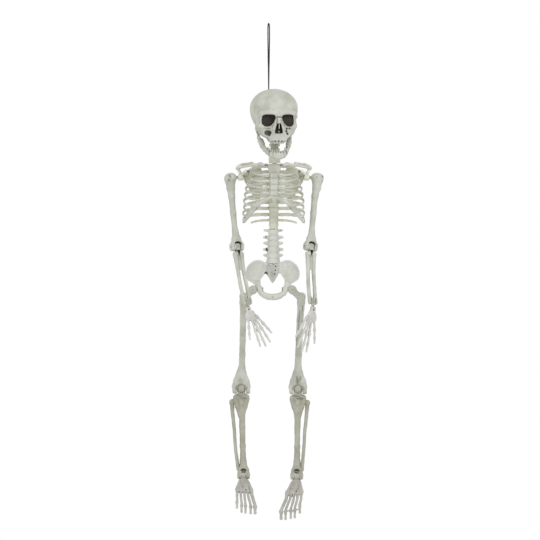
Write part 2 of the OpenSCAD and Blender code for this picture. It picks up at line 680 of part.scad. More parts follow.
// Toes from the big toe outward: place across the ball of the foot, place and reach of the tip, radius
toes = [[-12, -17, 1, 4.2], [-5.5, -8, 0.97, 3], [0, 0.5, 0.94, 2.8], [5.5, 8.5, 0.9, 2.8], [11, 15.5, 0.83, 2.8]];
sole = [[-9, -16], [9, -16], [12, -30], [18, -40], [15, -56], [-16, -58], [-15, -34]];
module foot(i) color(bone) in_frame(ankle_pos(i), [1, 0, 0], -foot_dir(i))
    mirror([i == RIGHT ? 1 : 0, 0, 0]) difference() {
        union() {
            x_rod(8, -ankle_tongue_w / 2, ankle_tongue_w / 2);
            box_at([-ankle_tongue_w / 2, -4, -20], [ankle_tongue_w / 2, 7.5, 0]);
            plate(sole, -3.5, 4.5);
            rod([[0, 1, -18], [0, 12, -9]], 6.5);
            rod([[0, 14, -8.5], [0, 19, 0]], 7);
            for (t = toes) {
                bar([t[0], 0.5, -50], [t[1], 1.5, -t[2] * foot_len * 0.8], t[3], t[3] * 0.8);
                bar([t[1], 1.5, -t[2] * foot_len * 0.8], [t[1], 2.5, -t[2] * foot_len + t[3]],
                    t[3] * 0.8, t[3] * 0.7);
                translate([t[1], 2.5, -t[2] * foot_len + t[3]]) sphere(r = t[3]);
                translate([t[1], 1.5, -t[2] * foot_len * 0.8]) sphere(r = t[3]);
            }
        }
        x_rod(pin_r + run_fit, -20, 20);
    }

// ---- Build ----

hanging_cord();
cord_knot();
skull_front();
skull_back();
jaw();
jaw_pins();
neck();
neck_pin();
rib_cage_front();
rib_cage_back();
collar_bone(RIGHT);  // collar_bone_right
collar_bone(LEFT);  // collar_bone_left
shoulder_blade(RIGHT);  // shoulder_blade_right
shoulder_blade(LEFT);  // shoulder_blade_left
waist_pin();
lumbar_spine();
pelvis();
shoulder_peg(RIGHT);  // shoulder_peg_right
shoulder_peg(LEFT);  // shoulder_peg_left
shoulder_pin(RIGHT);  // shoulder_pin_right
shoulder_pin(LEFT);  // shoulder_pin_left
humerus(RIGHT);  // humerus_right
humerus(LEFT);  // humerus_left
elbow_pin(RIGHT);  // elbow_pin_right
elbow_pin(LEFT);  // elbow_pin_left
forearm(RIGHT);  // forearm_right
forearm(LEFT);  // forearm_left
wrist_peg(RIGHT);  // wrist_peg_right
wrist_peg(LEFT);  // wrist_peg_left
wrist_pin(RIGHT);  // wrist_pin_right
wrist_pin(LEFT);  // wrist_pin_left
hand(RIGHT);  // hand_right
hand(LEFT);  // hand_left
hip_peg(RIGHT);  // hip_peg_right
hip_peg(LEFT);  // hip_peg_left
hip_pin(RIGHT);  // hip_pin_right
hip_pin(LEFT);  // hip_pin_left
femur(RIGHT);  // femur_right
femur(LEFT);  // femur_left
knee_pin(RIGHT);  // knee_pin_right
knee_pin(LEFT);  // knee_pin_left
shin(RIGHT);  // shin_right
shin(LEFT);  // shin_left
ankle_pin(RIGHT);  // ankle_pin_right
ankle_pin(LEFT);  // ankle_pin_left
foot(RIGHT);  // foot_right
foot(LEFT);  // foot_left
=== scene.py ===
"""Looks of the hanging skeleton figure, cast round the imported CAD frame.

Each bone is a field of distances in millimetres, in its own local frame, and is cast as a smooth mesh.
"""

import json  # noqa: E402
import math  # noqa: E402

import bpy  # noqa: E402
import numpy as np  # noqa: E402
import openvdb  # noqa: E402
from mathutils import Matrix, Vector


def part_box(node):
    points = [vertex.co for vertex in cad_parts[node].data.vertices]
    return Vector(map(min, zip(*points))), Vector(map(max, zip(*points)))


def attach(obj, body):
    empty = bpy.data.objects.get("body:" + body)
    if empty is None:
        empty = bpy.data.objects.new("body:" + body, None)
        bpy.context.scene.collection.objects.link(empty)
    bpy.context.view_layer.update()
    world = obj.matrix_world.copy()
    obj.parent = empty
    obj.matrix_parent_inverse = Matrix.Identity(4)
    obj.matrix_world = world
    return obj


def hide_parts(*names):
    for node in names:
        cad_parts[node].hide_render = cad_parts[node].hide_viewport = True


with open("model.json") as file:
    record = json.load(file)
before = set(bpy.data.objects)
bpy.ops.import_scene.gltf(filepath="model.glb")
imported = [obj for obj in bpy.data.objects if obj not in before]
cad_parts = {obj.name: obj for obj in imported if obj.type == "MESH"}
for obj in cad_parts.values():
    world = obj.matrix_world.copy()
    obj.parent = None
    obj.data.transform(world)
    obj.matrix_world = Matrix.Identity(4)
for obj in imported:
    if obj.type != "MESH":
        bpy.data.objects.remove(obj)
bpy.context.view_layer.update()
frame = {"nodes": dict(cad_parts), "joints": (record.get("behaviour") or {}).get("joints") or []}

MM = 0.001
COARSE = 1.0
FAR = 60.0
SIDES = ("right", "left")
OUTWARD = {"right": -1, "left": 1}
PIN_TIGHT = 1.95  # hole in the piece that holds a thick pin
PIN_LOOSE = 2.06  # hole in the piece that turns on it


# ---- Places, in millimetres ----


def unit(v):
    v = np.array(v, float)
    return v / np.linalg.norm(v)


class Place:
    """A local frame: its origin and the directions of its x and z axes, in the row frame."""

    def __init__(self, origin, x=(1, 0, 0), z=(0, 0, 1)):
        self.origin = np.array(origin, float)
        z = unit(z)
        x = unit(np.array(x, float) - np.dot(x, z) * z)
        self.turn = np.column_stack([x, np.cross(z, x), z])

    def to_row(self, p):
        return self.origin + np.asarray(p, float) @ self.turn.T

    def from_row(self, p):
        return (np.asarray(p, float) - self.origin) @ self.turn


JOINTS = {j["name"]: (1000 * np.array(j["pos_m"]), unit(j["axis"])) for j in frame["joints"]}


def at(joint, side=None):
    return JOINTS[f"{joint}_{side}" if side else joint][0]


def axis_of(joint, side=None):
    return JOINTS[f"{joint}_{side}" if side else joint][1]


# ---- Shapes: (lowest corner, highest corner, distance at x, y, z) ----


def egg(centre, radii, drop=None):
    """Ellipsoid; drop is its lower half's height, where that differs."""
    c, r = np.array(centre, float), np.array(radii, float)
    drop = r[2] if drop is None else drop

    def distance(x, y, z):
        tall = np.where(z < c[2], drop, r[2])
        q = ((x - c[0]) / r[0], (y - c[1]) / r[1], (z - c[2]) / tall)
        k0 = np.sqrt(q[0] ** 2 + q[1] ** 2 + q[2] ** 2)
        k1 = np.sqrt((q[0] / r[0]) ** 2 + (q[1] / r[1]) ** 2 + (q[2] / tall) ** 2)
        return k0 * (k0 - 1) / (k1 + 1e-6)

    return c - [r[0], r[1], drop], c + r, distance


def ball(centre, r):
    return egg(centre, (r, r, r))


def cone(a, b, ra, rb=None, wide=None, by=1.0):
    """Round-ended bar from a to b; its section is wider by that factor along the direction wide."""
    a, b = np.array(a, float), np.array(b, float)
    rb = ra if rb is None else rb
    ab = b - a
    long = max(ab @ ab, 1e-9)
    up = None if wide is None else unit(wide)
    reach = max(ra, rb) * max(1.0, by)

    def distance(x, y, z):
        px, py, pz = x - a[0], y - a[1], z - a[2]
        t = np.clip((px * ab[0] + py * ab[1] + pz * ab[2]) / long, 0, 1)
        vx, vy, vz = px - t * ab[0], py - t * ab[1], pz - t * ab[2]
        square = vx**2 + vy**2 + vz**2
        if up is not None:
            u = vx * up[0] + vy * up[1] + vz * up[2]
            square = square - u**2 * (1 - 1 / by**2)
        return np.sqrt(np.maximum(square, 0)) - (ra + (rb - ra) * t)

    return np.minimum(a, b) - reach, np.maximum(a, b) + reach, distance


def chain(points, radii, wide=None, by=1.0):
    """Round-ended bars through the points."""
    radii = [radii] * len(points) if np.isscalar(radii) else radii
    return [cone(points[i], points[i + 1], radii[i], radii[i + 1], wide, by) for i in range(len(points) - 1)]


def softened(dx, dy, soft):
    dx, dy = dx + soft, dy + soft
    return np.minimum(np.maximum(dx, dy), 0) + np.hypot(np.maximum(dx, 0), np.maximum(dy, 0)) - soft


def drum(a, b, r, soft=0.0):
    """Cylinder from a to b with rounded edges."""
    a, b = np.array(a, float), np.array(b, float)
    long = np.linalg.norm(b - a)
    u = (b - a) / long

    def distance(x, y, z):
        px, py, pz = x - a[0], y - a[1], z - a[2]
        t = px * u[0] + py * u[1] + pz * u[2]
        radial = np.sqrt(np.maximum(px**2 + py**2 + pz**2 - t**2, 0))
        return softened(radial - r, np.abs(t - long / 2) - long / 2, soft)

    return np.minimum(a, b) - r, np.maximum(a, b) + r, distance


def block(low, high, soft=0.0):
    low, high = np.array(low, float), np.array(high, float)
    c, h = (low + high) / 2, (high - low) / 2

    def distance(x, y, z):
        dx, dy, dz = np.abs(x - c[0]) - h[0], np.abs(y - c[1]) - h[1], np.abs(z - c[2]) - h[2]
        return softened(softened(dx, dy, soft), dz, soft)

    return low, high, distance


def inside(outline, u, v):
    """Distance to a polygon's edge, negative inside."""
    near = np.full(np.broadcast(u, v).shape, 1e9)
    sign = np.ones(near.shape)
    for i, (bu, bv) in enumerate(outline):
        au, av = outline[i - 1]
        eu, ev = bu - au, bv - av
        wu, wv = u - au, v - av
        t = np.clip((wu * eu + wv * ev) / (eu * eu + ev * ev), 0, 1)
        near = np.minimum(near, (wu - eu * t) ** 2 + (wv - ev * t) ** 2)
        above, below, left = v >= av, v < bv, eu * wv > ev * wu
        sign = np.where((above & below & left) | (~above & ~below & ~left), -sign, sign)
    return sign * np.sqrt(near)


def slab(outline, low, high, axis=1, soft=0.0):
    """Polygon, given in the two other axes in order, from low to high along axis."""
    around = [i for i in range(3) if i != axis]
    flat = np.array(outline, float)
    corner, far = np.zeros(3), np.zeros(3)
    corner[around], far[around] = flat.min(0), flat.max(0)
    corner[axis], far[axis] = low, high

    def distance(x, y, z):
        p = (x, y, z)
        d = inside(outline, p[around[0]], p[around[1]])
        return softened(d, np.abs(p[axis] - (low + high) / 2) - (high - low) / 2, soft)

    return corner, far, distance


def both(outline):
    """An outline for +x closed with its mirror image."""
    return list(outline) + [(-u, v) for u, v in reversed(outline) if abs(u) > 1e-6]


def flipped(part):
    low, high, distance = part
    return (
        np.array([-high[0], low[1], low[2]]),
        np.array([-low[0], high[1], high[2]]),
        lambda x, y, z: distance(-x, y, z),
    )


def as_list(parts):
    return parts if isinstance(parts, list) else [parts]


def pair(parts):
    """The parts and their mirror images in x."""
    return [q for part in as_list(parts) for q in (part, flipped(part))]


def mirror_where(wanted):
    """A function that gives parts back, mirrored in x where that is wanted."""
    if wanted:
        return lambda parts: [flipped(part) for part in as_list(parts)]
    return lambda parts: parts


def room(low, high, mirrored):
    """A box's two corners, mirrored in x where that is wanted."""
    return ((-high[0], *low[1:]), (-low[0], *high[1:])) if mirrored else (low, high)


def seen_from(place, part):
    """A part given in a place's coordinates, in the coordinates that the place itself is given in."""
    low, high, distance = part
    corners = np.array([[(low, high)[(i >> k) & 1][k] for k in range(3)] for i in range(8)])
    corners = place.to_row(corners)
    o, r = place.origin, place.turn

    def turned(x, y, z):
        q = (x - o[0], y - o[1], z - o[2])
        return distance(*(q[0] * r[0, i] + q[1] * r[1, i] + q[2] * r[2, i] for i in range(3)))

    return corners.min(0), corners.max(0), turned


# ---- Casting ----


def blended(a, b, k):
    if k <= 0:
        return np.minimum(a, b)
    h = np.clip(0.5 + 0.5 * (b - a) / k, 0, 1)
    return b + (a - b) * h - k * h * (1 - h)


def box_mean(values, reach, axis):
    """Mean over 2 * reach + 1 cells along an axis."""
    pad = [(0, 0)] * 3
    pad[axis] = (reach + 1, reach)
    total = np.cumsum(np.pad(values, pad), axis=axis, dtype=np.float64)
    count = values.shape[axis]
    high = np.take(total, range(2 * reach + 1, 2 * reach + 1 + count), axis)
    return ((high - np.take(total, range(count), axis)) / (2 * reach + 1)).astype(np.float32)


def sampled(grid, p):
    """Grid values at points given in cells."""
    i = np.clip(np.floor(p).astype(int), 0, np.array(grid.shape) - 2)
    f = np.clip(p - i, 0, 1)
    total = np.zeros(len(p))
    for corner in range(8):
        c = np.array([(corner >> k) & 1 for k in range(3)])
        weight = np.prod(np.where(c, f, 1 - f), axis=1)
        total += weight * grid[tuple((i + c).T)]
    return total


class Clay:
    """A solid as a grid of distances."""

    def __init__(self, low, high, voxel):
        self.voxel = voxel * COARSE
        self.low = np.array(low, float) - 4 * self.voxel
        size = np.array(high, float) + 4 * self.voxel - self.low
        cells = [math.ceil(length / self.voxel) + 1 for length in size]
        self.axes = [self.low[i] + self.voxel * np.arange(cells[i]) for i in range(3)]
        self.d = np.full([len(a) for a in self.axes], FAR, np.float32)
        self.skin = None
        self.crowd = None

    def window(self, low, high, margin):
        spans = []
        for i in range(3):
            first = max(0, math.floor((low[i] - margin - self.low[i]) / self.voxel))
            last = min(len(self.axes[i]), math.ceil((high[i] + margin - self.low[i]) / self.voxel) + 1)
            spans.append(slice(first, max(first, last)))
        x, y, z = (self.axes[i][spans[i]] for i in range(3))
        return tuple(spans), (x[:, None, None], y[None, :, None], z[None, None, :])

    def add(self, parts, k=0.0):
        for low, high, distance in as_list(parts):
            cells, p = self.window(low, high, k + 3 * self.voxel)
            self.d[cells] = blended(self.d[cells], distance(*p), k)

    def cut(self, parts, k=0.0):
        for low, high, distance in as_list(parts):
            cells, p = self.window(low, high, k + 3 * self.voxel)
            self.d[cells] = -blended(-self.d[cells], distance(*p), k)

    def wobble(self, amount, pitch, seed):
        """Pushes the surface in and out by about amount, in waves about pitch long."""
        rng = np.random.default_rng(seed)
        x, y, z = self.window(self.low, self.low, 1e4)[1]
        near = np.abs(self.d) < 4 * self.voxel
        total = np.zeros(self.d.shape, np.float32)
        for _ in range(4):
            v = unit(rng.normal(size=3)) * 2 * math.pi / pitch * rng.uniform(0.7, 1.5)
            total += np.sin(v[0] * x + v[1] * y + v[2] * z + rng.uniform(0, 6)).astype(np.float32)
        self.d += np.where(near, amount / 2 * total, 0)

    def remember(self):
        """Keeps the surface as it is now, so that what is cut later counts as hollow."""
        self.skin = self.d.copy()

    def crowding(self):
        """How much of what lies round each cell is solid, near by and further off."""
        if self.crowd is None:
            full = np.clip(0.5 - self.d / self.voxel, 0, 1)
            self.crowd = []
            for reach in (1.6, 5.0):
                n = max(1, round(reach / self.voxel / 1.3))
                blurred = full
                for axis in (0, 1, 2, 0, 1, 2):
                    blurred = box_mean(blurred, n, axis)
                self.crowd.append(blurred)
        return self.crowd

    def cast(self, name, place, body, nodes, material, keep=None, paint=()):
        """Makes the mesh piece. keep limits it to a part of the clay; paint is a list of (part, strength),
        darkening brown marks and painted shade in slots and forks.
        """
        d = self.d
        if keep is not None:
            d = np.maximum(d, keep[2](*self.window(self.low, self.low, 1e4)[1]))
        band = 3 * self.voxel
        grid = openvdb.FloatGrid(band)
        grid.copyFromArray(np.clip(d, -band, band).astype(np.float32))
        cells, quads = grid.convertToQuads(isovalue=0.0)
        cells, quads = np.asarray(cells, float), np.asarray(quads, np.int64)
        local = self.low + self.voxel * cells
        near, wide = self.crowding()
        hollow = np.zeros(len(cells))
        if self.skin is not None:
            hollow = np.clip(-sampled(self.skin, cells) / 10, 0, 1)
        # Darkness to paint: brown marks, and painted shade in slots and forks.
        stain_and_shade = np.zeros(len(cells))
        for part, strength in paint:
            reach = part[2](local[:, 0], local[:, 1], local[:, 2])
            stain_and_shade = np.maximum(stain_and_shade, strength * np.clip(1.3 - reach / 1.2, 0, 1))
        values = {"dip": sampled(near, cells), "painted_occlusion_shade": sampled(wide, cells), "hollow": hollow, "stain_and_shade": stain_and_shade}
        return mesh_piece(name, place.to_row(local), quads, body, nodes, material, values)


def linked(name, data):
    thing = bpy.data.objects.new(name, data)
    bpy.context.scene.collection.objects.link(thing)
    return thing


def mesh_piece(name, points, quads, body, nodes, material, values):
    corners = points[quads]
    volume = np.einsum("ij,ij->i", corners[:, 0], np.cross(corners[:, 1], corners[:, 2])).sum()
    volume += np.einsum("ij,ij->i", corners[:, 0], np.cross(corners[:, 2], corners[:, 3])).sum()
    if volume < 0:
        quads = quads[:, ::-1]
    mesh = bpy.data.meshes.new(name)
    mesh.vertices.add(len(points))
    mesh.vertices.foreach_set("co", (points * MM).astype(np.float32).ravel())
    mesh.loops.add(quads.size)
    mesh.loops.foreach_set("vertex_index", quads.astype(np.int32).ravel())
    mesh.polygons.add(len(quads))
    mesh.polygons.foreach_set("loop_start", np.arange(0, quads.size, 4, dtype=np.int32))
    mesh.polygons.foreach_set("use_smooth", np.ones(len(quads), bool))
    mesh.update(calc_edges=True)
    for key, value in values.items():
        mesh.attributes.new(key, "FLOAT", "POINT").data.foreach_set("value", value.astype(np.float32))
    piece = linked(name, mesh)
    mesh.materials.append(material)
    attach(piece, body)
    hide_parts(*nodes)
    return piece


# ---- Materials ----


def colour(red, green, blue):
    """A colour given in sRGB from 0 to 255, as linear light."""
    linear = [((c / 255 + 0.055) / 1.055) ** 2.4 if c > 10 else c / 3295 for c in (red, green, blue)]
    return (*linear, 1)


class Nodes:
    """Short ways to build a material's node tree."""

    def __init__(self, name):
        self.material = bpy.data.materials.new(name)
        self.material.use_nodes = True
        self.tree = self.material.node_tree
        self.shader = self.tree.nodes["Principled BSDF"]
        self.place = self.make("ShaderNodeTexCoord").outputs["Object"]

    def make(self, kind, **settings):
        node = self.tree.nodes.new(kind)
        for key, value in settings.items():
            setattr(node, key, value)
        return node

    def feed(self, socket, value):
        if hasattr(value, "node"):
            self.tree.links.new(value, socket)
        else:
            socket.default_value = value

    def attribute(self, name):
        return self.make("ShaderNodeAttribute", attribute_name=name).outputs["Fac"]

    def noise(self, scale, detail=3.0, rough=0.55, at=None):
        node = self.make("ShaderNodeTexNoise")
        self.feed(node.inputs["Vector"], self.place if at is None else at)
        for key, value in (("Scale", scale), ("Detail", detail), ("Roughness", rough)):
            node.inputs[key].default_value = value
        return node.outputs["Fac"]

    def maths(self, kind, a, b=0.0):
        node = self.make("ShaderNodeMath", operation=kind)
        self.feed(node.inputs[0], a)
        self.feed(node.inputs[1], b)
        return node.outputs[0]

    def ramp(self, value, low, high, to_low=0.0, to_high=1.0):
        node = self.make("ShaderNodeMapRange")
        self.feed(node.inputs["Value"], value)
        for key, number in (("From Min", low), ("From Max", high), ("To Min", to_low), ("To Max", to_high)):
            node.inputs[key].default_value = number
        return node.outputs["Result"]

    def mix(self, share, a, b):
        node = self.make("ShaderNodeMix", data_type="RGBA")
        self.feed(node.inputs[0], share)
        self.feed(node.inputs[6], a)
        self.feed(node.inputs[7], b)
        return node.outputs[2]

    def bump(self, height, strength, distance):
        node = self.make("ShaderNodeBump")
        self.feed(node.inputs["Height"], height)
        node.inputs["Strength"].default_value = strength
        node.inputs["Distance"].default_value = distance
        self.feed(self.shader.inputs["Normal"], node.outputs["Normal"])


def bone_material(name, light, shade, wash_and_shade, shade_amount=0.35):
    """Moulded plastic with thin dark brown paint that has run into the hollows; hollows, crevices and crowded
    places are also darkened as painted shade.
    """
    n = Nodes(name)
    cloud = n.noise(38, 4)
    speck = n.noise(260, 3, 0.6)
    grain = n.noise(900, 2)
    dip, painted_occlusion_shade, hollow, stain_and_shade = (n.attribute(key) for key in ("dip", "painted_occlusion_shade", "hollow", "stain_and_shade"))
    uneven = n.maths("ADD", dip, n.ramp(speck, 0.3, 0.7, -0.045, 0.045))
    body = n.mix(n.ramp(cloud, 0.35, 0.65), light, shade)
    # Painted shade: towards the shade colour where much solid lies round about, as in ambient occlusion.
    body = n.mix(n.ramp(painted_occlusion_shade, 0.3, 0.62, 0.0, shade_amount), body, shade)
    # Crevices take the dark brown paint colour: partly the real paint there, partly painted shade.
    low = n.mix(n.ramp(uneven, 0.5, 0.68, 0.0, 0.55), body, wash_and_shade)
    # Cut recesses and tight crevices turn deep brown: brown paint and painted shade together.
    pit = n.maths("MAXIMUM", n.ramp(hollow, 0.04, 0.35, 0.0, 0.9), n.ramp(uneven, 0.66, 0.85, 0.0, 0.75))
    dark = n.mix(pit, low, colour(52, 45, 34))
    # Near-black where painted: brown-black marks, and painted shade inside slots, forks and notches.
    black = n.mix(n.maths("MULTIPLY", stain_and_shade, n.ramp(speck, 0.2, 0.8, 0.9, 1.0)), dark, colour(40, 32, 25))
    edge = n.mix(n.ramp(uneven, 0.42, 0.3, 0.0, 0.35), black, colour(206, 207, 198))
    n.feed(n.shader.inputs["Base Color"], edge)
    n.feed(n.shader.inputs["Roughness"], n.ramp(speck, 0.3, 0.7, 0.48, 0.62))
    n.shader.inputs["Specular IOR Level"].default_value = 0.35
    height = n.maths("ADD", n.maths("MULTIPLY", speck, 0.7), n.maths("MULTIPLY", grain, 0.3))
    n.bump(height, 0.25, 0.0004)
    return n.material


def steel_material():
    n = Nodes("dull_steel")
    speck = n.noise(700, 3)
    n.feed(n.shader.inputs["Base Color"], n.mix(speck, colour(118, 116, 110), colour(168, 166, 160)))
    n.feed(n.shader.inputs["Roughness"], n.ramp(speck, 0.3, 0.7, 0.35, 0.6))
    n.shader.inputs["Metallic"].default_value = 0.85
    n.bump(speck, 0.15, 0.0002)
    return n.material


def peg_material():
    n = Nodes("stained_peg")
    cloud, speck = n.noise(90, 3), n.noise(500, 3)
    body = n.mix(n.ramp(cloud, 0.35, 0.65), colour(146, 143, 127), colour(176, 174, 160))
    n.feed(n.shader.inputs["Base Color"], body)
    n.feed(n.shader.inputs["Roughness"], n.ramp(speck, 0.3, 0.7, 0.5, 0.7))
    n.bump(speck, 0.3, 0.0003)
    return n.material


def cord_material():
    n = Nodes("black_braid")
    strand = n.attribute("strand")
    fuzz = n.noise(2600, 2)
    # Painted shade in the braid's grooves, lighter on its raised strands.
    body = n.mix(strand, colour(6, 6, 7), colour(26, 26, 28))
    n.feed(n.shader.inputs["Base Color"], n.mix(n.ramp(fuzz, 0.4, 0.7, 0.0, 0.25), body, colour(60, 60, 62)))
    n.feed(n.shader.inputs["Roughness"], n.ramp(fuzz, 0.3, 0.7, 0.75, 0.95))
    n.bump(fuzz, 0.4, 0.0003)
    return n.material


BONE = bone_material("aged_bone", colour(184, 186, 177), colour(162, 163, 151), colour(92, 88, 68))
PALE = bone_material("pale_warm_bone", colour(198, 199, 193), colour(184, 185, 176), colour(98, 94, 76))
SHADED = bone_material("shaded_bone", colour(164, 164, 151), colour(142, 141, 126), colour(84, 80, 60))
FOOT = bone_material("grey_bone", colour(170, 169, 162), colour(148, 146, 138), colour(80, 74, 60), 0.3)
HAND = bone_material("pale_bone", colour(192, 191, 187), colour(172, 171, 165), colour(92, 86, 72), 0.3)
SPINE = bone_material("olive_bone", colour(211, 211, 198), colour(188, 188, 170), colour(104, 99, 74), 0.4)
STEEL, PEG, CORD = steel_material(), peg_material(), cord_material()


# ---- Camera, light and floor ----


def stage():
    camera = linked("camera", bpy.data.cameras.new("camera"))
    camera.data.lens = 500
    camera.data.sensor_width = 36
    camera.location = (0.0027, -15.6, -0.5117)
    camera.rotation_euler = (math.pi / 2, 0, 0)
    camera.data.clip_end = 30
    bpy.context.scene.camera = camera
    world = bpy.data.worlds.new("studio")
    world.use_nodes = True
    background = world.node_tree.nodes["Background"]
    background.inputs["Color"].default_value = (1, 1, 1, 1)
    background.inputs["Strength"].default_value = 1.0
    bpy.context.scene.world = world
    bpy.context.scene.view_settings.view_transform = "Standard"
    for name, place, aim, size, power in (
        ("key", (0.9, -1.8, 0.7), (0, 0, -0.4), 1.2, 16),
        ("fill", (-1.4, -1.2, -0.2), (0, 0, -0.6), 1.4, 5),
    ):
        lamp = bpy.data.lights.new(name, "AREA")
        lamp.size, lamp.energy = size, power
        holder = linked(name, lamp)
        holder.location = place
        away = unit(np.array(place) - np.array(aim))
        holder.rotation_euler = (math.acos(away[2]), 0, math.atan2(away[0], -away[1]))
    mesh = bpy.data.meshes.new("floor")
    half, back, level = 0.85, 0.8, -1.26
    corners = [(-half, -half, level), (half, -half, level), (half, back, level), (-half, back, level)]
    mesh.from_pydata(corners, [], [(0, 1, 2, 3)])
    paper = Nodes("pale_paper")
    tone = paper.mix(paper.noise(12), colour(238, 238, 236), colour(244, 244, 242))
    paper.feed(paper.shader.inputs["Base Color"], tone)
    paper.shader.inputs["Roughness"].default_value = 0.9
    mesh.materials.append(paper.material)
    floor = linked("floor", mesh)


stage()


# ---- Cord ----

STRAND = [
    (0, -1.5, -144), (0, -1.5, -138), (0.1, -1.6, -130), (0.2, -1.7, -122), (0.3, -1.9, -114),
    (0.4, -2.2, -106), (0.5, -2.5, -98), (0.6, -2.8, -90), (0.8, -3.1, -82), (1, -3.4, -74),
    (1.1, -3.7, -66), (1.2, -4, -58), (1.3, -4.3, -50), (1.4, -4.6, -42), (1.5, -4.9, -34),
    (1.6, -5.2, -26), (1.6, -5.5, -18), (1.6, -5.5, -11), (1.4, -5.2, -5), (1, -3.8, -1),
]
CORD_R = 1.25
CORD_STEP = 0.45 * COARSE
CORD_SIDES = 20
KNOT_Z = -145.4


def rounded_path(points, step):
    """A smooth line through the points, with even steps."""
    p = np.array(points, float)
    p = np.vstack([2 * p[0] - p[1], p, 2 * p[-1] - p[-2]])
    fine = []
    for i in range(1, len(p) - 2):
        t = np.linspace(0, 1, 24, endpoint=False)[:, None]
        a, b, c, d = p[i - 1], p[i], p[i + 1], p[i + 2]
        bend, twist = 2 * a - 5 * b + 4 * c - d, 3 * b - a - 3 * c + d
        fine.append(0.5 * (2 * b + (c - a) * t + bend * t**2 + twist * t**3))
    fine = np.vstack(fine + [p[-2:-1]])
    along = np.concatenate([[0], np.cumsum(np.linalg.norm(np.diff(fine, axis=0), axis=1))])
    even = np.linspace(0, along[-1], round(along[-1] / step) + 1)
    return np.column_stack([np.interp(even, along, fine[:, i]) for i in range(3)])


def hanging_cord():
    back = [(-x, -y, z) for x, y, z in reversed(STRAND)]
    line = rounded_path(STRAND + [(0, 0, 1.2)] + back, CORD_STEP)
    tangent = np.gradient(line, axis=0)
    tangent /= np.linalg.norm(tangent, axis=1)[:, None]
    side = np.cross(tangent, (1, 0.02, 0))
    side /= np.linalg.norm(side, axis=1)[:, None]
    other = np.cross(tangent, side)
    count = CORD_SIDES
    turn = np.arange(count) * 2 * math.pi / count
    along = np.arange(len(line))[:, None] * CORD_STEP
    weave = np.maximum(np.sin(3 * turn + along * 1.5), np.sin(3 * turn - along * 1.5 + 1.5))
    radius = CORD_R * (0.94 + 0.06 * weave)
    ring = np.cos(turn)[None, :, None] * side[:, None] + np.sin(turn)[None, :, None] * other[:, None]
    points = (line[:, None] + radius[:, :, None] * ring).reshape(-1, 3)
    first = np.arange(len(line) - 1)[:, None] * count
    k, after = np.arange(count), (np.arange(count) + 1) % count
    quads = np.stack([first + k, first + after, first + count + after, first + count + k], -1).reshape(-1, 4)
    last = len(points)
    points = np.vstack([points, line[:1], line[-1:]])
    caps = [[last, int(b), int(a)] for a, b in zip(k, after)]
    end = last - count
    caps += [[last + 1, end + int(a), end + int(b)] for a, b in zip(k, after)]
    mesh = bpy.data.meshes.new("hanging_cord_braid")
    mesh.from_pydata((points * MM).tolist(), [], quads.tolist() + caps)
    mesh.polygons.foreach_set("use_smooth", np.ones(len(mesh.polygons), bool))
    value = np.concatenate([(0.5 + 0.5 * weave).ravel(), [0, 0]]).astype(np.float32)
    mesh.attributes.new("strand", "FLOAT", "POINT").data.foreach_set("value", value)
    mesh.materials.append(CORD)
    mesh.update()
    piece = linked("hanging_cord_braid", mesh)
    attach(piece, "skull")
    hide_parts("hanging_cord")


hanging_cord()


# ---- Head ----

SKULL = Place(at("jaw_hinge") + [0, 0, 42], x=axis_of("jaw_hinge"))
JAW = Place(at("jaw_hinge"), x=axis_of("jaw_hinge"))
NECK_AXIS = at("neck_turn")
SEAM = 6.0


def teeth(centre_y, radius, low, high, width, turn_to, thick=2.2, rise=0.0):
    """Teeth round an arch, from the middle out, and the gaps between them; rise lifts the row to the back."""
    pegs, gaps = [], []
    step, angle = width / radius, 0.0
    while angle < math.radians(turn_to):
        for found, a in ((gaps, angle), (pegs, angle + step / 2)):
            way = np.array((math.sin(a), -math.cos(a), 0))
            lift = rise * (1 - math.cos(a))
            middle = way * radius + [0, centre_y, (low + high) / 2 + lift]
            if found is gaps:
                edge = middle + way * (thick + 0.4)
                found.append(cone(edge + [0, 0, low - middle[2] + lift - 1], edge + [0, 0, 2.5], 1.3, 0.7))
            else:
                place = Place(middle, x=(way[1], -way[0], 0))
                found.append(seen_from(place, egg((0, 0, 0), (width * 0.5, thick, (high - low) / 2))))
        angle += step
    return pair(pegs), pair(gaps)


EYE = (20.3, -17.6)
EYE_RIM = [(-10.5, 10.8), (-5, 11.7), (6.8, 11.7), (11.3, 9.6), (13, 1.3), (12, -7.2), (7.4, -11.6),
           (0, -12.2), (-4.8, -9.8), (-9.8, -4), (-12.9, 3.5), (-12.9, 8)]
FACE = [(0, 4), (24, 3), (38, -2), (43, -10), (43.6, -20), (42.6, -28.5), (40.4, -36.5), (36, -44), (29, -50),
        (21.5, -53.5), (18.6, -57), (17, -61), (0, -61)]


def face_y(x, out=0.0):
    return -14 - (46 + out) * math.sqrt(max(0.0, 1 - (x / 44) ** 2))


def face_mass():
    outline = both(FACE)

    def distance(x, y, z):
        front = (np.sqrt((x / 44) ** 2 + ((y + 14) / 46) ** 2) - 1) * 44
        return softened(softened(inside(outline, x, z), front, 4), y + 20 + 0 * z, 3)

    return np.array((-44.0, -60, -62)), np.array((44.0, -18, 4)), distance


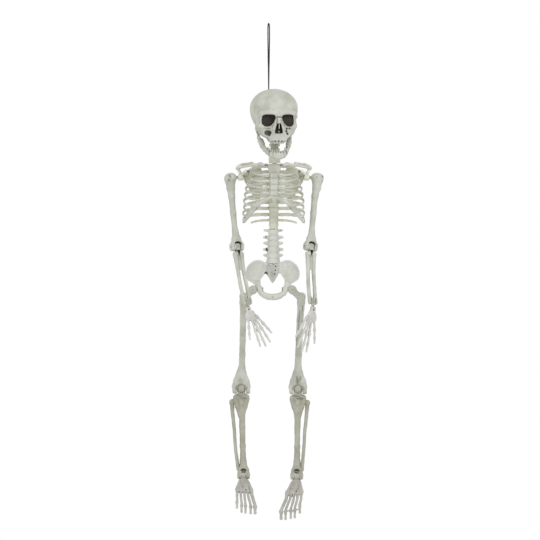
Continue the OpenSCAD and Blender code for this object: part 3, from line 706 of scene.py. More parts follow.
def skull():
    clay = Clay((-52, -72, -66), (52, 64, 51), 0.9)
    clay.add(egg((0, 6, 8), (49.8, 56, 41.3), 54))
    clay.add(egg((0, -22, 9), (43, 39.6, 37), 44), 8)
    clay.cut(block((-60, -30, -80), (60, 80, -44.2), 2), 2)
    clay.add(face_mass(), 6)
    clay.add(pair(chain([(32.6, 14, -33), (31, 13, -42)], [6, 4.4])), 5)
    # Brow, rims of the sockets, cheekbones and upper jaw
    brow = [(6, -60, -3), (20, -57.5, -0.5), (34, -46, -2.5), (40, -37, -9)]
    clay.add(pair(chain(brow, [3, 3.2, 3, 3])), 6)
    rim = [(EYE[0] + 1.1 * u, EYE[1] + 1.1 * v) for u, v in EYE_RIM]
    rim = [(x, face_y(x, -1.2), z) for x, z in rim]
    clay.add(pair(chain(rim + rim[:1], 2.1)), 1.6)
    clay.add(pair(chain([(38, -36, -27), (39.6, -22, -28.5), (38, -6, -30)], [4, 3, 3.4], (0, 0, 1), 1.5)), 3)
    clay.add(pair(egg((33, -42, -30), (8, 6, 6.5))), 4)
    clay.add(cone((0, -37, -58), (0, -35, -44), 15.6, 18.4), 5)
    clay.add(chain([(0, -59, -9), (0, -62, -15), (0, -64.2, -22.5)], [4.6, 4.2, 2.8]), 3)
    clay.add(pair(chain([(4, -60.5, -22), (9, -58.5, -34), (9.5, -57.5, -44)], [2.2, 2.6, 2.4])), 3)
    clay.add(pair(chain([(14.5, -51, -44), (14, -49.5, -55)], [2.6, 2.2])), 3)
    clay.cut(drum((0, -36, -70), (0, -36, -50), 13.4, 2), 1)
    clay.cut(block((-13, -36, -70), (13, 0, -49), 2), 1)
    pegs, gaps = teeth(-37, 18.2, -64, -51, 5.9, 96, 2.4, 6)
    clay.add(pegs, 1)
    # The ears that carry the jaw
    clay.add(pair(chain([(27.5, 1, -32), (28, 0, -41)], [5, 4])), 3)
    clay.add(pair(drum((25, 0, -42), (30.8, 0, -42), 4, 0.6)), 1)
    clay.wobble(0.16, 17, 3)
    clay.remember()
    # Sockets, nose, the lines round the bridge and the small hollows under the cheekbones
    socket = slab([(EYE[0] + u, EYE[1] + v) for u, v in EYE_RIM], -80, -42, 1, 2)
    clay.cut(pair(socket), 1)
    nose = slab(both([(0, -25), (3.2, -24), (5, -28), (6.4, -34), (7.7, -40.5), (6.8, -44), (2.5, -44.2)]),
                -80, -48, 1, 1)
    clay.cut(nose, 0.8)
    clay.add(block((0, -62.5, -35), (1.3, -48, -23), 0.5), 0.6)
    clay.add(ball((0.6, -57.5, -41), 2.2), 0.8)
    lines = chain([(-8, -61.2, -11.4), (0, -64.4, -10.6), (8, -61.2, -11.4)], 0.9)
    lines += chain([(-4.6, -63.8, -14), (-4.4, -64.4, -19), (-5.6, -63, -24)], 0.95)
    lines += chain([(5, -63.5, -16), (9, -61, -23), (13, -58, -30)], 0.7)
    lines += chain([(-9, -60.5, -22), (-14, -57.5, -31)], 0.6)
    clay.cut(lines, 0.6)
    blot = [egg((-21.6, -53, -43), (7.6, 7, 4.8)), egg((-19.5, -55, -46), (2.6, 6, 3.6))]
    dots = [egg((17.5, -56.5, -34.5), (1.8, 4, 1.5)), egg((16.4, -56.5, -40), (1.6, 4, 2.2)),
            egg((18.5, -54, -45), (1.8, 4, 2)), egg((24, -54, -34), (2.4, 4, 1))]
    clay.cut([egg((-21.6, -56, -43), (6, 4, 3.4))] + dots, 1)
    clay.cut(egg((-22.5, -56.5, -34.3), (4.6, 3.4, 1)), 0.6)
    clay.cut(gaps, 0.4)
    # Braincase, neck socket, cord hole and pin holes
    inner = egg((0, 8, 8), (46.6, 50, 38), 50)
    clay.cut((inner[0], inner[1], lambda x, y, z: np.maximum(inner[2](x, y, z), -40 - z)))
    neck = SKULL.from_row(NECK_AXIS)
    clay.cut(drum((neck[0], neck[1], -60), (neck[0], neck[1], -30), 6.1))
    hole = SKULL.from_row((0, 0, NECK_AXIS[2]))
    clay.cut(drum((hole[0], hole[1], 30), (hole[0], hole[1], 70), 2.9), 0.8)
    clay.cut(drum((-40, 0, -42), (40, 0, -42), 1.55))
    fine = clay.skin

    def below_skin(part, depth):
        def distance(x, y, z):
            cells = (np.column_stack([x, y, z]) - clay.low) / clay.voxel
            return np.maximum(part[2](x, y, z), depth + sampled(fine, cells))

        return part[0], part[1], distance

    paint = [(below_skin(part, 0.5), 1.0) for part in pair(socket)] + [(below_skin(nose, 0.6), 0.95)]
    paint += [(part, 0.62) for part in lines[:4]] + [(part, 0.3) for part in lines[4:]]
    paint += [(blot[0], 0.95), (blot[1], 1.0), (egg((-22.5, -56.5, -34.3), (4.6, 6, 0.8)), 0.4)]
    paint += [(part, 0.75) for part in dots] + [(part, 0.85) for part in gaps]
    for name, sign in (("skull_front", 1), ("skull_back", -1)):
        half = (None, None, lambda x, y, z, s=sign: s * (y - SEAM) + 0.12)
        clay.cast(f"{name}_shell", SKULL, "skull", [name], BONE, half, paint)


def jaw():
    clay = Clay((-39, -60, -57), (39, 12, 7), 0.75)
    body = [(0, -53.5, -48), (7, -52.5, -47.6), (13, -48.5, -45.6), (17.4, -41, -42.4), (20.6, -32, -38.6),
            (24.4, -21, -33.4), (28, -12.5, -27.5)]
    clay.add(pair(chain(body, [3.8, 3.7, 3.5, 3.4, 3.4, 3.5, 3.8], (0, 0, 1), 1.8)), 3)
    clay.add(egg((0, -55, -51), (9, 3.6, 4)), 3)
    branch = [(28.4, -12, -27), (31.4, -6.5, -18), (33, -2.5, -8)]
    clay.add(pair(chain(branch, [4.2, 3.6, 2.9], (0, 1, 0.35), 2.1)), 3)
    clay.add(pair(chain([(32.2, -10, -14), (33, -12.5, -7)], [2.2, 1.5], (0, 1, 0), 1.8)), 2)
    clay.add(pair(chain([(28.6, -9, -16), (26.2, -14, -24)], [4.2, 4.6])), 3)
    clay.add(pair(chain([(33.8, -1.5, -12), (33.8, 0, -1)], [2.6, 2.2])), 3)
    clay.add(pair(drum((32.4, 0, 0), (35.2, 0, 0), 4, 0.6)), 1)
    pegs, gaps = teeth(-34.5, 18, -46, -38, 4.7, 92, 2.1, 7)
    clay.add(pegs, 0.9)
    clay.wobble(0.12, 14, 5)
    clay.remember()
    clay.cut(gaps, 0.4)
    dents = [cone((18.4, -35, -36), (22, -25, -30), 1.5)]
    clay.cut(dents, 1)
    clay.cut(drum((-40, 0, 0), (40, 0, 0), 1.6))
    paint = [(part, 0.6) for part in gaps] + [(part, 0.8) for part in dents]
    clay.cast("jaw_bone", JAW, "jaw", ["jaw"], BONE, paint=paint)


def neck():
    pin = at("neck_nod")
    top = NECK_AXIS[2] - 0.4 - pin[2]
    place = Place(pin)
    clay = Clay((-13, -13, -8), (13, 18, top + 9), 0.6)
    clay.add(drum((0, 0, top), (0, 0, top + 8.2), 6, 0.3))
    clay.add(drum((0, 0, top + 4.8), (0, 0, top + 8.2), 8.4, 0.5))
    clay.add(drum((0, 0, 13.4), (0, 0, top), 8.4, 1.2))
    for k in range(6):
        z = top - 1 - 9.6 * k - 2.6
        clay.add(drum((0, 0, z - 3), (0, 0, z + 3), 11.6 if k else 10.2, 1.6), 1)
        clay.add(cone((0, 6, z), (0, 13.5, z - 3), 2.4, 1.5), 2)
    clay.add(drum((0, 0, 11.6), (0, 0, 26), 12.2, 1.4), 1)
    clay.add(block((-5, -6, 0), (5, 6, 14), 0.8), 1.5)
    clay.add(drum((-5, 0, 0), (5, 0, 0), 7, 0.6))
    clay.wobble(0.12, 9, 7)
    clay.remember()
    flutes = [cone((x, -12.6 + abs(x) * 0.3, 24), (x, -12.6 + abs(x) * 0.3, top - 3), 1.3)
              for x in (-6.4, -2, 2, 6.4)]
    clay.cut(flutes, 0.8)
    clay.cut(drum((-9, 0, 0), (9, 0, 0), PIN_LOOSE))
    clay.cast("neck_column", place, "neck", ["neck"], SPINE, paint=[(part, 0.4) for part in flutes])


# ---- Chest ----

CHEST_X = (at("shoulder_swing", "right")[0] + at("shoulder_swing", "left")[0]) / 2
CHEST = Place((CHEST_X, 0, 0))
CHEST_Y = -18.0
SPINE_Y = at("waist_turn")[1]
WAIST_Z = at("waist_turn")[2]
RIB_W = (48, 52, 56, 60, 62, 64, 63.8, 65.5, 64.5)
RIB_FRONT = (90, 90, 90, 90, 90, 75, 54, 35, 18)
RIB_R = 36.0
TILT = math.radians(16.2)


def rib_point(k, angle, x=None):
    """A point of rib loop k at an angle from the side, forward positive; x overrides the place across."""
    a = math.radians(angle)
    across = RIB_W[k] - RIB_R - 1.6 + RIB_R * math.cos(a) if x is None else x
    y = -RIB_R * math.sin(a)
    sag = 1.2 * math.sin(2 * a) if a > 0 else 0
    return (across, CHEST_Y + y * math.cos(TILT), -305 - 12.65 * k + y * math.sin(TILT) - sag)


def chest():
    clay = Clay((-70, -60, -428), (70, 33, -289), 0.9)
    for k, width in enumerate(RIB_W):
        inner = width - RIB_R - 1.6
        front = [rib_point(k, a) for a in np.linspace(0, min(90, RIB_FRONT[k] + 3), 10)]
        if RIB_FRONT[k] == 90:
            front += [rib_point(k, 90, inner * s) for s in (0.66, 0.33, 0)]
        rear = [rib_point(k, a) for a in np.linspace(0, -90, 10)]
        rear += [rib_point(k, -90, max(inner * s, 0)) for s in (0.6, 0.2)]
        clay.add(pair(chain(front, list(np.linspace(1.5, 1.7, len(front))), (0, 0, 1), 1.35)), 0.9)
        clay.add(pair(chain(rear, list(np.linspace(1.6, 1.8, len(rear))), (0, 0, 1), 2.05)), 0.9)
    floating = [(6, SPINE_Y + 3, -408), (26, 16, -408.6), (38, 10, -410.4), (47, 0, -413.4)]
    clay.add(pair(chain(floating, [2, 1.8, 1.7, 1.4], (0, 0, 1), 1.4)), 1)
    # Breastbone
    breast = both([(0, -294.4), (6, -293.6), (12.2, -295.6), (13, -301), (10.4, -307.4), (7.8, -313),
                   (7.2, -319), (8, -327), (7.2, -333.6), (8, -340), (7.2, -346), (8, -352), (7.2, -359),
                   (4.8, -367), (2.4, -375), (0, -376)])
    clay.add(slab([(u + 0.6, v) for u, v in breast], -57.2, -50, 1, 1.6), 1.2)
    clay.add(pair(egg((9, -54, -297.5), (3.6, 2.8, 2.6))), 1.5)
    clay.cut(egg((0, -55, -290.5), (5, 6, 4)), 1.5)
    # Costal arch with its web of cartilage
    arch = [(4, -53.6, -361), (15, -54, -365.4), (27, -53.2, -371.4), (36, -50, -382), (44, -45.4, -390.4),
            (54, -37.6, -402.4), (60.6, -29.6, -409.4), (62.4, -24, -411.4)]
    clay.add(pair(chain(arch, [3.1, 3, 3, 2.9, 2.9, 2.8, 2.9, 2.8], (0, 0, 1), 1.25)), 1.6)
    web = [(31, -51.8, -373.4), (41, -47.8, -381.6), (50, -41.8, -391.6), (57.6, -34, -401.6)]
    clay.add(pair(chain(web, [1.6, 1.9, 2, 1.7], (0.55, 0, 1), 4.2)), 1.2)
    clay.add(pair(egg((62, -25.5, -406.5), (2.6, 8, 5.4))), 2)
    # Thoracic column
    for k in range(11):
        z = SPINE_Z[k]
        clay.add(drum((0, SPINE_Y, z - 4), (0, SPINE_Y, z + 4), 10.2, 1.6), 1)
        clay.add(cone((0, SPINE_Y + 5, z), (0, SPINE_Y + 14.5, z - 5), 2.4, 1.5), 1.5)
    clay.add(drum((0, SPINE_Y, WAIST_Z + 0.4), (0, SPINE_Y, -309), 9, 0.6), 1)
    # Fork for the neck
    pin = CHEST.from_row(at("neck_nod"))
    clay.add(drum(pin - [12.6, 0, 0], pin + [12.6, 0, 0], 8.5, 1.2), 1)
    clay.add(block(pin + [-11, -6, -11], pin + [11, 8.5, 0], 1), 1)
    clay.add(block(pin + [-10.6, 6, -12], pin + [10.6, 13, 4.4], 1), 1)
    clay.wobble(0.16, 13, 11)
    clay.remember()
    clay.cut(block(pin + [-5.45, -20, -8.1], pin + [5.45, 10.5, 20]))
    clay.cut(drum(pin - [20, 0, 0], pin + [20, 0, 0], PIN_TIGHT))
    waist = CHEST.from_row((at("waist_turn")[0], SPINE_Y, 0))[0]
    clay.cut(drum((waist, SPINE_Y, WAIST_Z - 2), (waist, SPINE_Y, WAIST_Z + 12.6), 4.06))
    marks = [cone((-5.4, -57.8, z), (6.4, -57.8, z), 0.7) for z in (-309, -321, -334, -346.5, -358)]
    clay.cut(marks, 1)
    dents = pair([egg((35, -52, -384), (1, 4, 2.6)), egg((52, -40, -388), (3, 6, 1))])
    paint = [(part, 0.28) for part in marks] + [(part, 0.35) for part in dents]
    for name, sign in (("rib_cage_front", 1), ("rib_cage_back", -1)):
        half = (None, None, lambda x, y, z, s=sign: s * (y - CHEST_Y))
        clay.cast(f"{name}_bone", CHEST, "chest", [name], BONE if sign > 0 else SPINE, half, paint)


SPINE_Z = [-313.5 - 10.4 * k for k in range(11)]


def girdle(side):
    s = OUTWARD[side]
    shoulder = at("shoulder_swing", side)
    mirror = mirror_where(s < 0)
    y, z = shoulder[1], shoulder[2]
    # Collar bone
    clay = Clay(*room((4, -60, -304), (84, 4, -282), s < 0), 0.6)
    line = [(11, -52, -297.4), (18, -53, -294.6), (28, -50, -292), (38, -42, -293), (48, -32, -294.8),
            (58, -22, -296.2), (68, -11, -298), (74.5, -4.5, -299.6)]
    clay.add(mirror(chain(line, [3.6, 2.9, 2.6, 2.6, 2.5, 2.5, 2.8, 4])), 1)
    clay.add(mirror([egg((15, -53, -294.6), (4.8, 3.8, 4)), egg((28, -50, -290), (5, 2.6, 2.2))]), 1.5)
    clay.wobble(0.16, 9, 13)
    clay.remember()
    rings = [cone((18.4, -57.4, -298), (21, -56.8, -290.6), 0.8),
             cone((12.6, -57, -299), (14, -57.6, -291), 0.8),
             egg((16.6, -57.6, -294.4), (1.2, 1.4, 2))]
    clay.cut(mirror(rings), 0.6)
    paint = [(part, 0.75) for part in mirror(rings)]
    clay.cast(f"collar_bone_{side}_bone", CHEST, "chest", [f"collar_bone_{side}"], HAND, paint=paint)
    # Shoulder blade
    clay = Clay(*room((22, -25, -376), (85, 31, -282), s < 0), 0.75)
    outline = [(26, -305), (29, -298), (34, -296), (46, -300), (56, -305), (61.5, -313), (60, -326),
               (53, -338), (46, -349), (40, -360), (35, -368), (31, -368), (27, -355), (25, -340), (25, -322)]
    clay.add(mirror(slab(outline, 23.2, 25.8, 1, 1)))
    rim = [(x, 24.5, z0) for x, z0 in outline]
    clay.add(mirror(chain(rim + rim[:1], 1.7)), 1)
    ridge = [(34, 25, -303), (42, 24, -295.5), (46, 22.5, -290.4), (55, 19, -290.8), (66, 12, -292),
             (73, 3, -296), (75.5, -3, -299.4)]
    clay.add(mirror(chain(ridge, [2.2, 2.8, 4, 2.7, 2.9, 3.2, 4.4])), 1.5)
    clay.add(mirror(chain([(74, -3.5, -302), (70.5, -4, -308), (68, y, -314)], [3.2, 2.9, 3.2])), 1.5)
    clay.add(mirror(chain([(56, 24, -312), (64, 8, z + 5), (67, y, z + 4)], [4, 4, 4.2])), 2)
    clay.add(mirror(drum((62.2, y, z), (74.3, y, z), 6.6, 2.2)), 1.5)
    clay.add(mirror(chain([(66, y - 4, z + 5), (62, -14, z + 10), (58.5, -20, z + 13)], [3, 2.6, 3])), 1.5)
    clay.wobble(0.16, 11, 17)
    clay.remember()
    clay.cut(mirror(drum((50, y, z), (90, y, z), 3.08)))
    clay.cut(mirror(drum((58, y, z), (62.1, y, z), 5.2)))
    spot = mirror([egg((53, 22, -306.6), (2.2, 4, 1.6)), egg((62.5, -9, -316), (1.2, 3, 3))])
    paint = [(mirror([slab(outline, 20, 28)])[0], 0.06), (spot[0], 0.7), (spot[1], 0.5)]
    clay.cast(f"shoulder_blade_{side}_bone", CHEST, "chest", [f"shoulder_blade_{side}"], SPINE, paint=paint)


# ---- Waist and pelvis ----


def lumbar():
    x = at("waist_turn")[0]
    place = Place((x, SPINE_Y, WAIST_Z))
    clay = Clay((-24, -17, -77), (24, 21, 13), 0.7)
    clay.add(drum((0, 0, -1), (0, 0, 12), 4, 0.6))
    clay.add(chain([(0, 0, -10.4), (0, 0, -40), (0, 0, -61)], [10.4, 12.2, 13.2]))
    clay.cut(block((-20, -20, -0.3), (20, 20, 1)))
    for k, z in enumerate((-5.2, -18, -30.4, -43, -55.4, -67)):
        r = 11.8 + 0.5 * k if k else 10.9
        clay.add(drum((0, 0, z - 4.6), (0, 0, z + 4.6), r, 2), 1.2)
        clay.add(cone((0, 6, z), (0, 16.5, z - 3), 3, 2), 1.5)
    for k, z in enumerate((-3.2, -17.7, -29.7, -42.9, -54.9)):
        clay.add(pair(chain([(8, 1, z), (15, 2.4, z + 0.4), (18.6 + 0.5 * (k % 2), 3, z + 0.6)],
                            [5, 3.1, 2.5] if k else [3.4, 2.2, 1.8])), 1.8)
    clay.add(drum((0, 0, -1), (0, 0, 12), 4, 0.6))
    clay.wobble(0.2, 9, 19)
    clay.remember()
    streaks = pair(cone((8.4, -9, -8), (10, -10.4, -66), 0.8))
    marks = [cone((14, -1.6, -1.8), (20, 0.4, -1.6), 0.6), cone((14, -1.8, -5), (20, 0.4, -4.6), 0.6),
             egg((-13.5, -4, -43), (2, 6, 3.4)), egg((-15, -1, -16.5), (1.2, 4, 2))]
    ring = (np.array((-4.5, -4.5, 4.4)), np.array((4.5, 4.5, 7.6)),
            lambda a, b, c: np.maximum(3 - np.sqrt(a * a + b * b), np.abs(c - 6) - 1.6))
    clay.cut(ring)
    paint = [(part, 0.15) for part in streaks] + list(zip(marks, (0.6, 0.6, 0.95, 0.5)))
    clay.cast("lumbar_column", place, "pelvis", ["lumbar_spine"], PALE, paint=paint)


def wing_part():
    outline = [(13, -506), (14.5, -498), (20, -493.5), (27, -491), (35, -491), (42.6, -494.4), (49, -500),
               (53.6, -507), (56.4, -515), (56.4, -523), (54, -530), (49, -535), (40, -540), (34.5, -548),
               (27, -548), (25.6, -540), (24.6, -531), (20.4, -525.5), (15.6, -518), (13, -511)]

    def distance(x, y, z):
        d = inside(outline, x, z)
        bowl = 4 * np.maximum(0, 1 - ((x - 39) / 20) ** 2 - ((z + 513) / 24) ** 2)
        middle = 9.5 - 0.36 * (x - 16) + bowl - 0.16 * np.maximum(0, -523 - z)
        thick = 2 + 1.5 * np.exp(-((np.minimum(d, 0) / 3.4) ** 2))
        return softened(d, (np.abs(y - middle) - thick) * 0.92, 1.7)

    return np.array((12.0, -13, -550)), np.array((58.0, 20, -488)), distance


def pelvis():
    centre = (at("hip_swing", "right") + at("hip_swing", "left")) / 2
    place = Place((centre[0], 0, 0))
    y, z = centre[1], centre[2]
    clay = Clay((-60, -15, -576), (60, 24, -489), 0.8)
    sacrum = both([(0, -492), (12, -493), (17.5, -500), (17, -510), (12, -521), (6, -531), (1.6, -538),
                   (0, -538.6)])
    clay.add(slab(sacrum, 6.5, 17, 1, 2.5), 2)
    clay.add(pair(wing_part()), 5)
    ring = [(0, -8, -567.6), (8, -7.6, -567.4), (16, -6.2, -565), (23, -4.6, -559.6), (28, -3, -551),
            (30.4, 0, -541)]
    clay.add(pair(chain(ring, [5.5, 5.4, 5.2, 5.2, 5.2, 5], (0, 0, 1), 1.1)), 3.5)
    clay.add(pair(chain([(24, 4, -556), (21.5, 8, -560), (20, 9, -563)], [5, 4.8, 4.4])), 2)
    clay.add(pair(ball((22.6, -1, -551), 4.4)), 1.5)
    clay.add(pair(drum((22, y, z), (30.5, y, z), 7, 1.2)), 2)
    clay.wobble(0.2, 15, 23)
    clay.remember()
    clay.cut(egg((0, 3, -520), (9, 4.5, 13)), 2)
    pits = []
    for row in (-505, -513, -521):
        pits += [egg((6.4 + (row + 505) * 0.12, 7.6, row + 1), (1.5, 2.2, 1.4))]
        pits += [cone((-6, 6.6, row - 4), (6, 6.6, row - 4), 0.6)]
    clay.cut(pits, 0.8)
    clay.cut(cone((0, -14.4, -560), (0, -13.4, -576), 0.9), 1)
    clay.cut(pair(drum((17, y, z), (70, y, z), 3.08)))
    clay.cut(pair(drum((15, y, z), (22.1, y, z), 5)))
    shaft = place.from_row((at("waist_turn")[0], SPINE_Y, 0))
    clay.cut(drum((shaft[0], shaft[1], -501), (shaft[0], shaft[1], -480), 8.2))
    stain = both([(0, -501), (15, -502), (15, -511), (6, -531), (0, -538)])
    paint = [(slab([(u * 0.92, v) for u, v in stain], 0, 16, 1, 2), 0.2),
             (egg((-13.4, 6, -519), (3, 14, 3.2)), 0.95),
             (cone((0, -16, -560), (0, -15, -576), 1), 0.4)]
    clay.cast("pelvis_bone", place, "pelvis", ["pelvis"], PALE, paint=paint)


# ---- Arms ----


def arm(side):
    s = OUTWARD[side]
    shoulder, elbow, wrist = at("shoulder_swing", side), at("elbow", side), at("wrist_twist", side)
    hinge = axis_of("elbow", side)
    hinge = hinge if hinge[0] > 0 else -hinge
    upper = Place(shoulder, x=hinge, z=shoulder - elbow)
    long = np.linalg.norm(shoulder - elbow)
    body = f"upper_arm_{side}"
    clay = Clay((-22, -17, -long - 11), (22, 17, 15), 0.72)
    clay.add(egg((0, 0, -1), (12.6, 12.6, 10.6)))
    clay.add(egg((s * 5.5, 0, -4), (8.4, 9.6, 10.5)), 3)
    clay.add(egg((s * 6, -4, 1), (7, 7, 6.6)), 3)
    shaft = [(s * 1.5, 0, -6), (s * 2, 0, -22), (s * 0.6 - 1, 0, -40), (s * 0.6 - 1, 0, -75),
             (s * 0.4 - 0.8, 0, -112), (0, 0, -128)]
    clay.add(chain(shaft, [11, 8.6, 6.8, 6.1, 5.9, 6.6]), 3)
    for x in (-1, 1):
        flare = [(x * 9.6, 0, -long + 3), (x * 5, 0, -long + 17), (0, 0, -long + 34)]
        clay.add(chain(flare, [5, 4.6, 4.6]), 3)
    clay.add(block((-9, -6, -long + 4), (9, 6, -long + 17), 3), 3)
    clay.add(drum((-13.5, 0, -long), (13.5, 0, -long), 9.5, 2), 1.5)
    clay.add(block((-8, 4, -long + 2), (8, 8.8, -long + 16), 2.4), 2)
    clay.wobble(0.2, 14, 29)
    clay.remember()
    aside = Place((0, 0, 0))
    aside.turn = upper.turn.T
    opening = block((-17, -2.45, -4.6), (7, 2.45, 17))
    slot = [flipped(opening) if s < 0 else opening, drum((0, -2.45, 0), (0, 2.45, 0), 7.05),
            drum((0, -20, 0), (0, 20, 0), 1.5)]
    clay.cut([seen_from(aside, part) for part in slot])
    clay.cut(drum((-5.25, 0, -long), (5.25, 0, -long), 10.1))
    clay.cut(block((-5.25, -20, -long - 20), (5.25, 20, -long)))
    clay.cut(drum((-20, 0, -long), (20, 0, -long), PIN_TIGHT))
    bow = [(-7.4, 4), (-6.6, 7.4), (-3, 9.8), (3, 9.8), (6.6, 7.4), (7.4, 4), (5, 4), (-5, 4)]
    bow = [slab([(x, z - long) for x, z in bow], -14, -5, 1, 0.6)]
    clay.cut(bow, 0.6)
    clay.cut(pair(egg((9.5, -9.8, -long + 1), (2, 1.6, 4))), 1)
    spots = [(egg((s * 8, -11, 2), (2.4, 4, 2)), 0.5), (egg((s * 9.5, -10, -7), (1.6, 4, 2.6)), 0.4)]
    # Painted shade: the arch over the hinge and the inside of the fork are painted near-black where shade
    # falls.
    spots += [(part, 0.95) for part in bow] + [(drum((-5.5, 0, -long), (5.5, 0, -long), 10.7), 0.8)]
    clay.cast(f"humerus_{side}_bone", upper, body, [f"humerus_{side}"], BONE, paint=spots)
    # Forearm
    lower = Place(elbow, x=hinge, z=elbow - wrist)
    long = np.linalg.norm(elbow - wrist)
    clay = Clay((-14, -10, -long + 8), (14, 10, 10), 0.62)
    clay.add(drum((-4.7, 0, 0), (4.7, 0, 0), 7, 0.8))
    clay.add(block((-4.7, -5, -15), (4.7, 5, 0), 0.8), 0.8)
    clay.add(cone((-7.6, 0, -16.5), (7.6, 0, -16.5), 5), 1.5)
    for x in (-1, 1):
        bar = [(x * 7.4, 0, -17), (x * 6.8 - 1, 0, -34), (x * 6.4 - 1.6, 0, -58), (x * 7 - 1.8, 0, -82),
               (x * 7 - 1, 0, -105), (x * 5.6, 0, -long + 13)]
        clay.add(chain(bar, [5, 4.3, 3.9, 3.8, 3.9, 4.4]), 0.8)
    clay.add(block((-5.5, -1.6, -52), (5.5, 1.6, -18), 1), 1)
    clay.add(block((-9.6, -4.4, -long + 10), (9.6, 4.4, -long + 23), 2.4), 2)
    clay.wobble(0.16, 12, 31)
    clay.remember()
    notch = slab([(-4, -9.4), (4, -9.4), (0.5, -19.6), (-0.5, -19.6)], -9, -0.5, 1, 0.4)
    cross = [cone((-3.4, -8, 2), (3.4, -7.6, -4.4), 0.6), cone((3.4, -8, 2), (-3.4, -7.6, -4.4), 0.6)]
    clay.cut(notch, 0.6)
    clay.cut(cross, 0.4)
    drips = [cone((x, face * 5, -long + 10), (x, face * 4.8, -long + 26 - abs(x)), 0.9)
             for x in (-4.8, 0, 4.8) for face in (-1, 1)]
    clay.cut(drips, 0.6)
    clay.cut(drum((-20, 0, 0), (20, 0, 0), PIN_LOOSE))
    clay.cut(drum((0, 0, -long), (0, 0, -long + 26), PIN_LOOSE))
    clay.cut(drum((0, 0, -long + 20), (0, 0, -long + 25), 3.4))
    # Painted shade: the notch under the elbow knob is painted black; the crossing lines and drips are brown
    # paint.
    paint = [(notch, 1.0)] + [(part, 0.35) for part in cross] + [(part, 0.4) for part in drips]
    clay.cast(f"forearm_{side}_bone", lower, f"forearm_{side}", [f"forearm_{side}"], BONE, paint=paint)


FINGERS = ((-8, 0.76, 2.6), (5, 0.97, 2.8), (11.5, 1.0, 2.9), (19, 0.95, 2.8), (29, 0.78, 2.9))
HAND_LEN = 98.0


def hand(side):
    wrist, hinge = at("wrist_bend", side), axis_of("wrist_bend", side)
    hinge = hinge if hinge[0] > 0 else -hinge
    low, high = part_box(f"hand_{side}")
    middle = 1000 * (np.array(low) + np.array(high)) / 2
    along = wrist - middle
    along = along - (along @ hinge) * hinge
    place = Place(wrist, x=hinge, z=along)
    mirror = mirror_where(side == "left")
    clay = Clay(*room((-18, -7, -100), (56, 7, 6), side == "left"), 0.5)
    clay.add(drum((-5, 0, 0), (5, 0, 0), 4, 0.6))
    clay.add(block((-5, -3.6, -10), (5, 3.6, 0), 0.8), 1)
    palm = [(-6.5, -7.5), (7, -7.5), (9.6, -13), (10.4, -20), (10, -25), (6, -28), (0, -29), (-6, -28.5),
            (-9.6, -24), (-9.6, -15)]
    clay.add(mirror(slab(palm, -2.7, 2.7, 1, 1.6)), 1)
    for angle, reach, r in FINGERS:
        a = math.radians(angle)
        way = np.array((math.sin(a), 0, -math.cos(a)))
        root, tip = 0.24 * HAND_LEN, reach * HAND_LEN
        splay = np.array((0.09 * (angle - 11), 0, 0))
        start = way * 9 + np.array((0.14 * angle - 1, 0, 0))
        stem = [start, way * root * 0.8 + splay, way * (root + 2) + splay]
        clay.add(mirror(chain(stem, [2.2, 1.7, r * 0.95])), 0.6)
        spots = [(0, 1.12), (0.06, 1.15), (0.14, 0.82), (0.32, 0.74), (0.41, 1.12), (0.46, 1.12),
                 (0.53, 0.78), (0.66, 0.7), (0.72, 0.98), (0.77, 0.95), (0.82, 0.72), (0.92, 0.66),
                 (0.97, 0.72)]
        line = [way * (root + (tip - root) * t) + splay * (1 - t) + (0, -1.1 * math.sin(math.pi * t), 0)
                for t, _ in spots]
        clay.add(mirror(chain(line, [r * w for _, w in spots])), 0.5)
    clay.wobble(0.1, 7, 37)
    clay.remember()
    for angle in (-1, 10, 18, 29):
        a = math.radians(angle)
        way = np.array((math.sin(a), 0, -math.cos(a)))
        for face in (-1, 1):
            start, end = way * 15 + [0, face * 3.1, 0], way * 25 + [0, face * 3, 0]
            clay.cut(mirror(cone(start, end, 0.4, 0.5)), 0.8)
    clay.cut(mirror(cone((-6, -4.3, -8.5), (6, -4.3, -8.5), 0.7)), 0.6)
    clay.cut(block((-1.8, -9, -5.1), (1.8, 9, 9)))
    clay.cut(drum((-9, 0, 0), (9, 0, 0), 1.18))
    clay.cast(f"hand_{side}_bone", place, f"hand_{side}", [f"hand_{side}"], HAND)


# ---- Legs ----


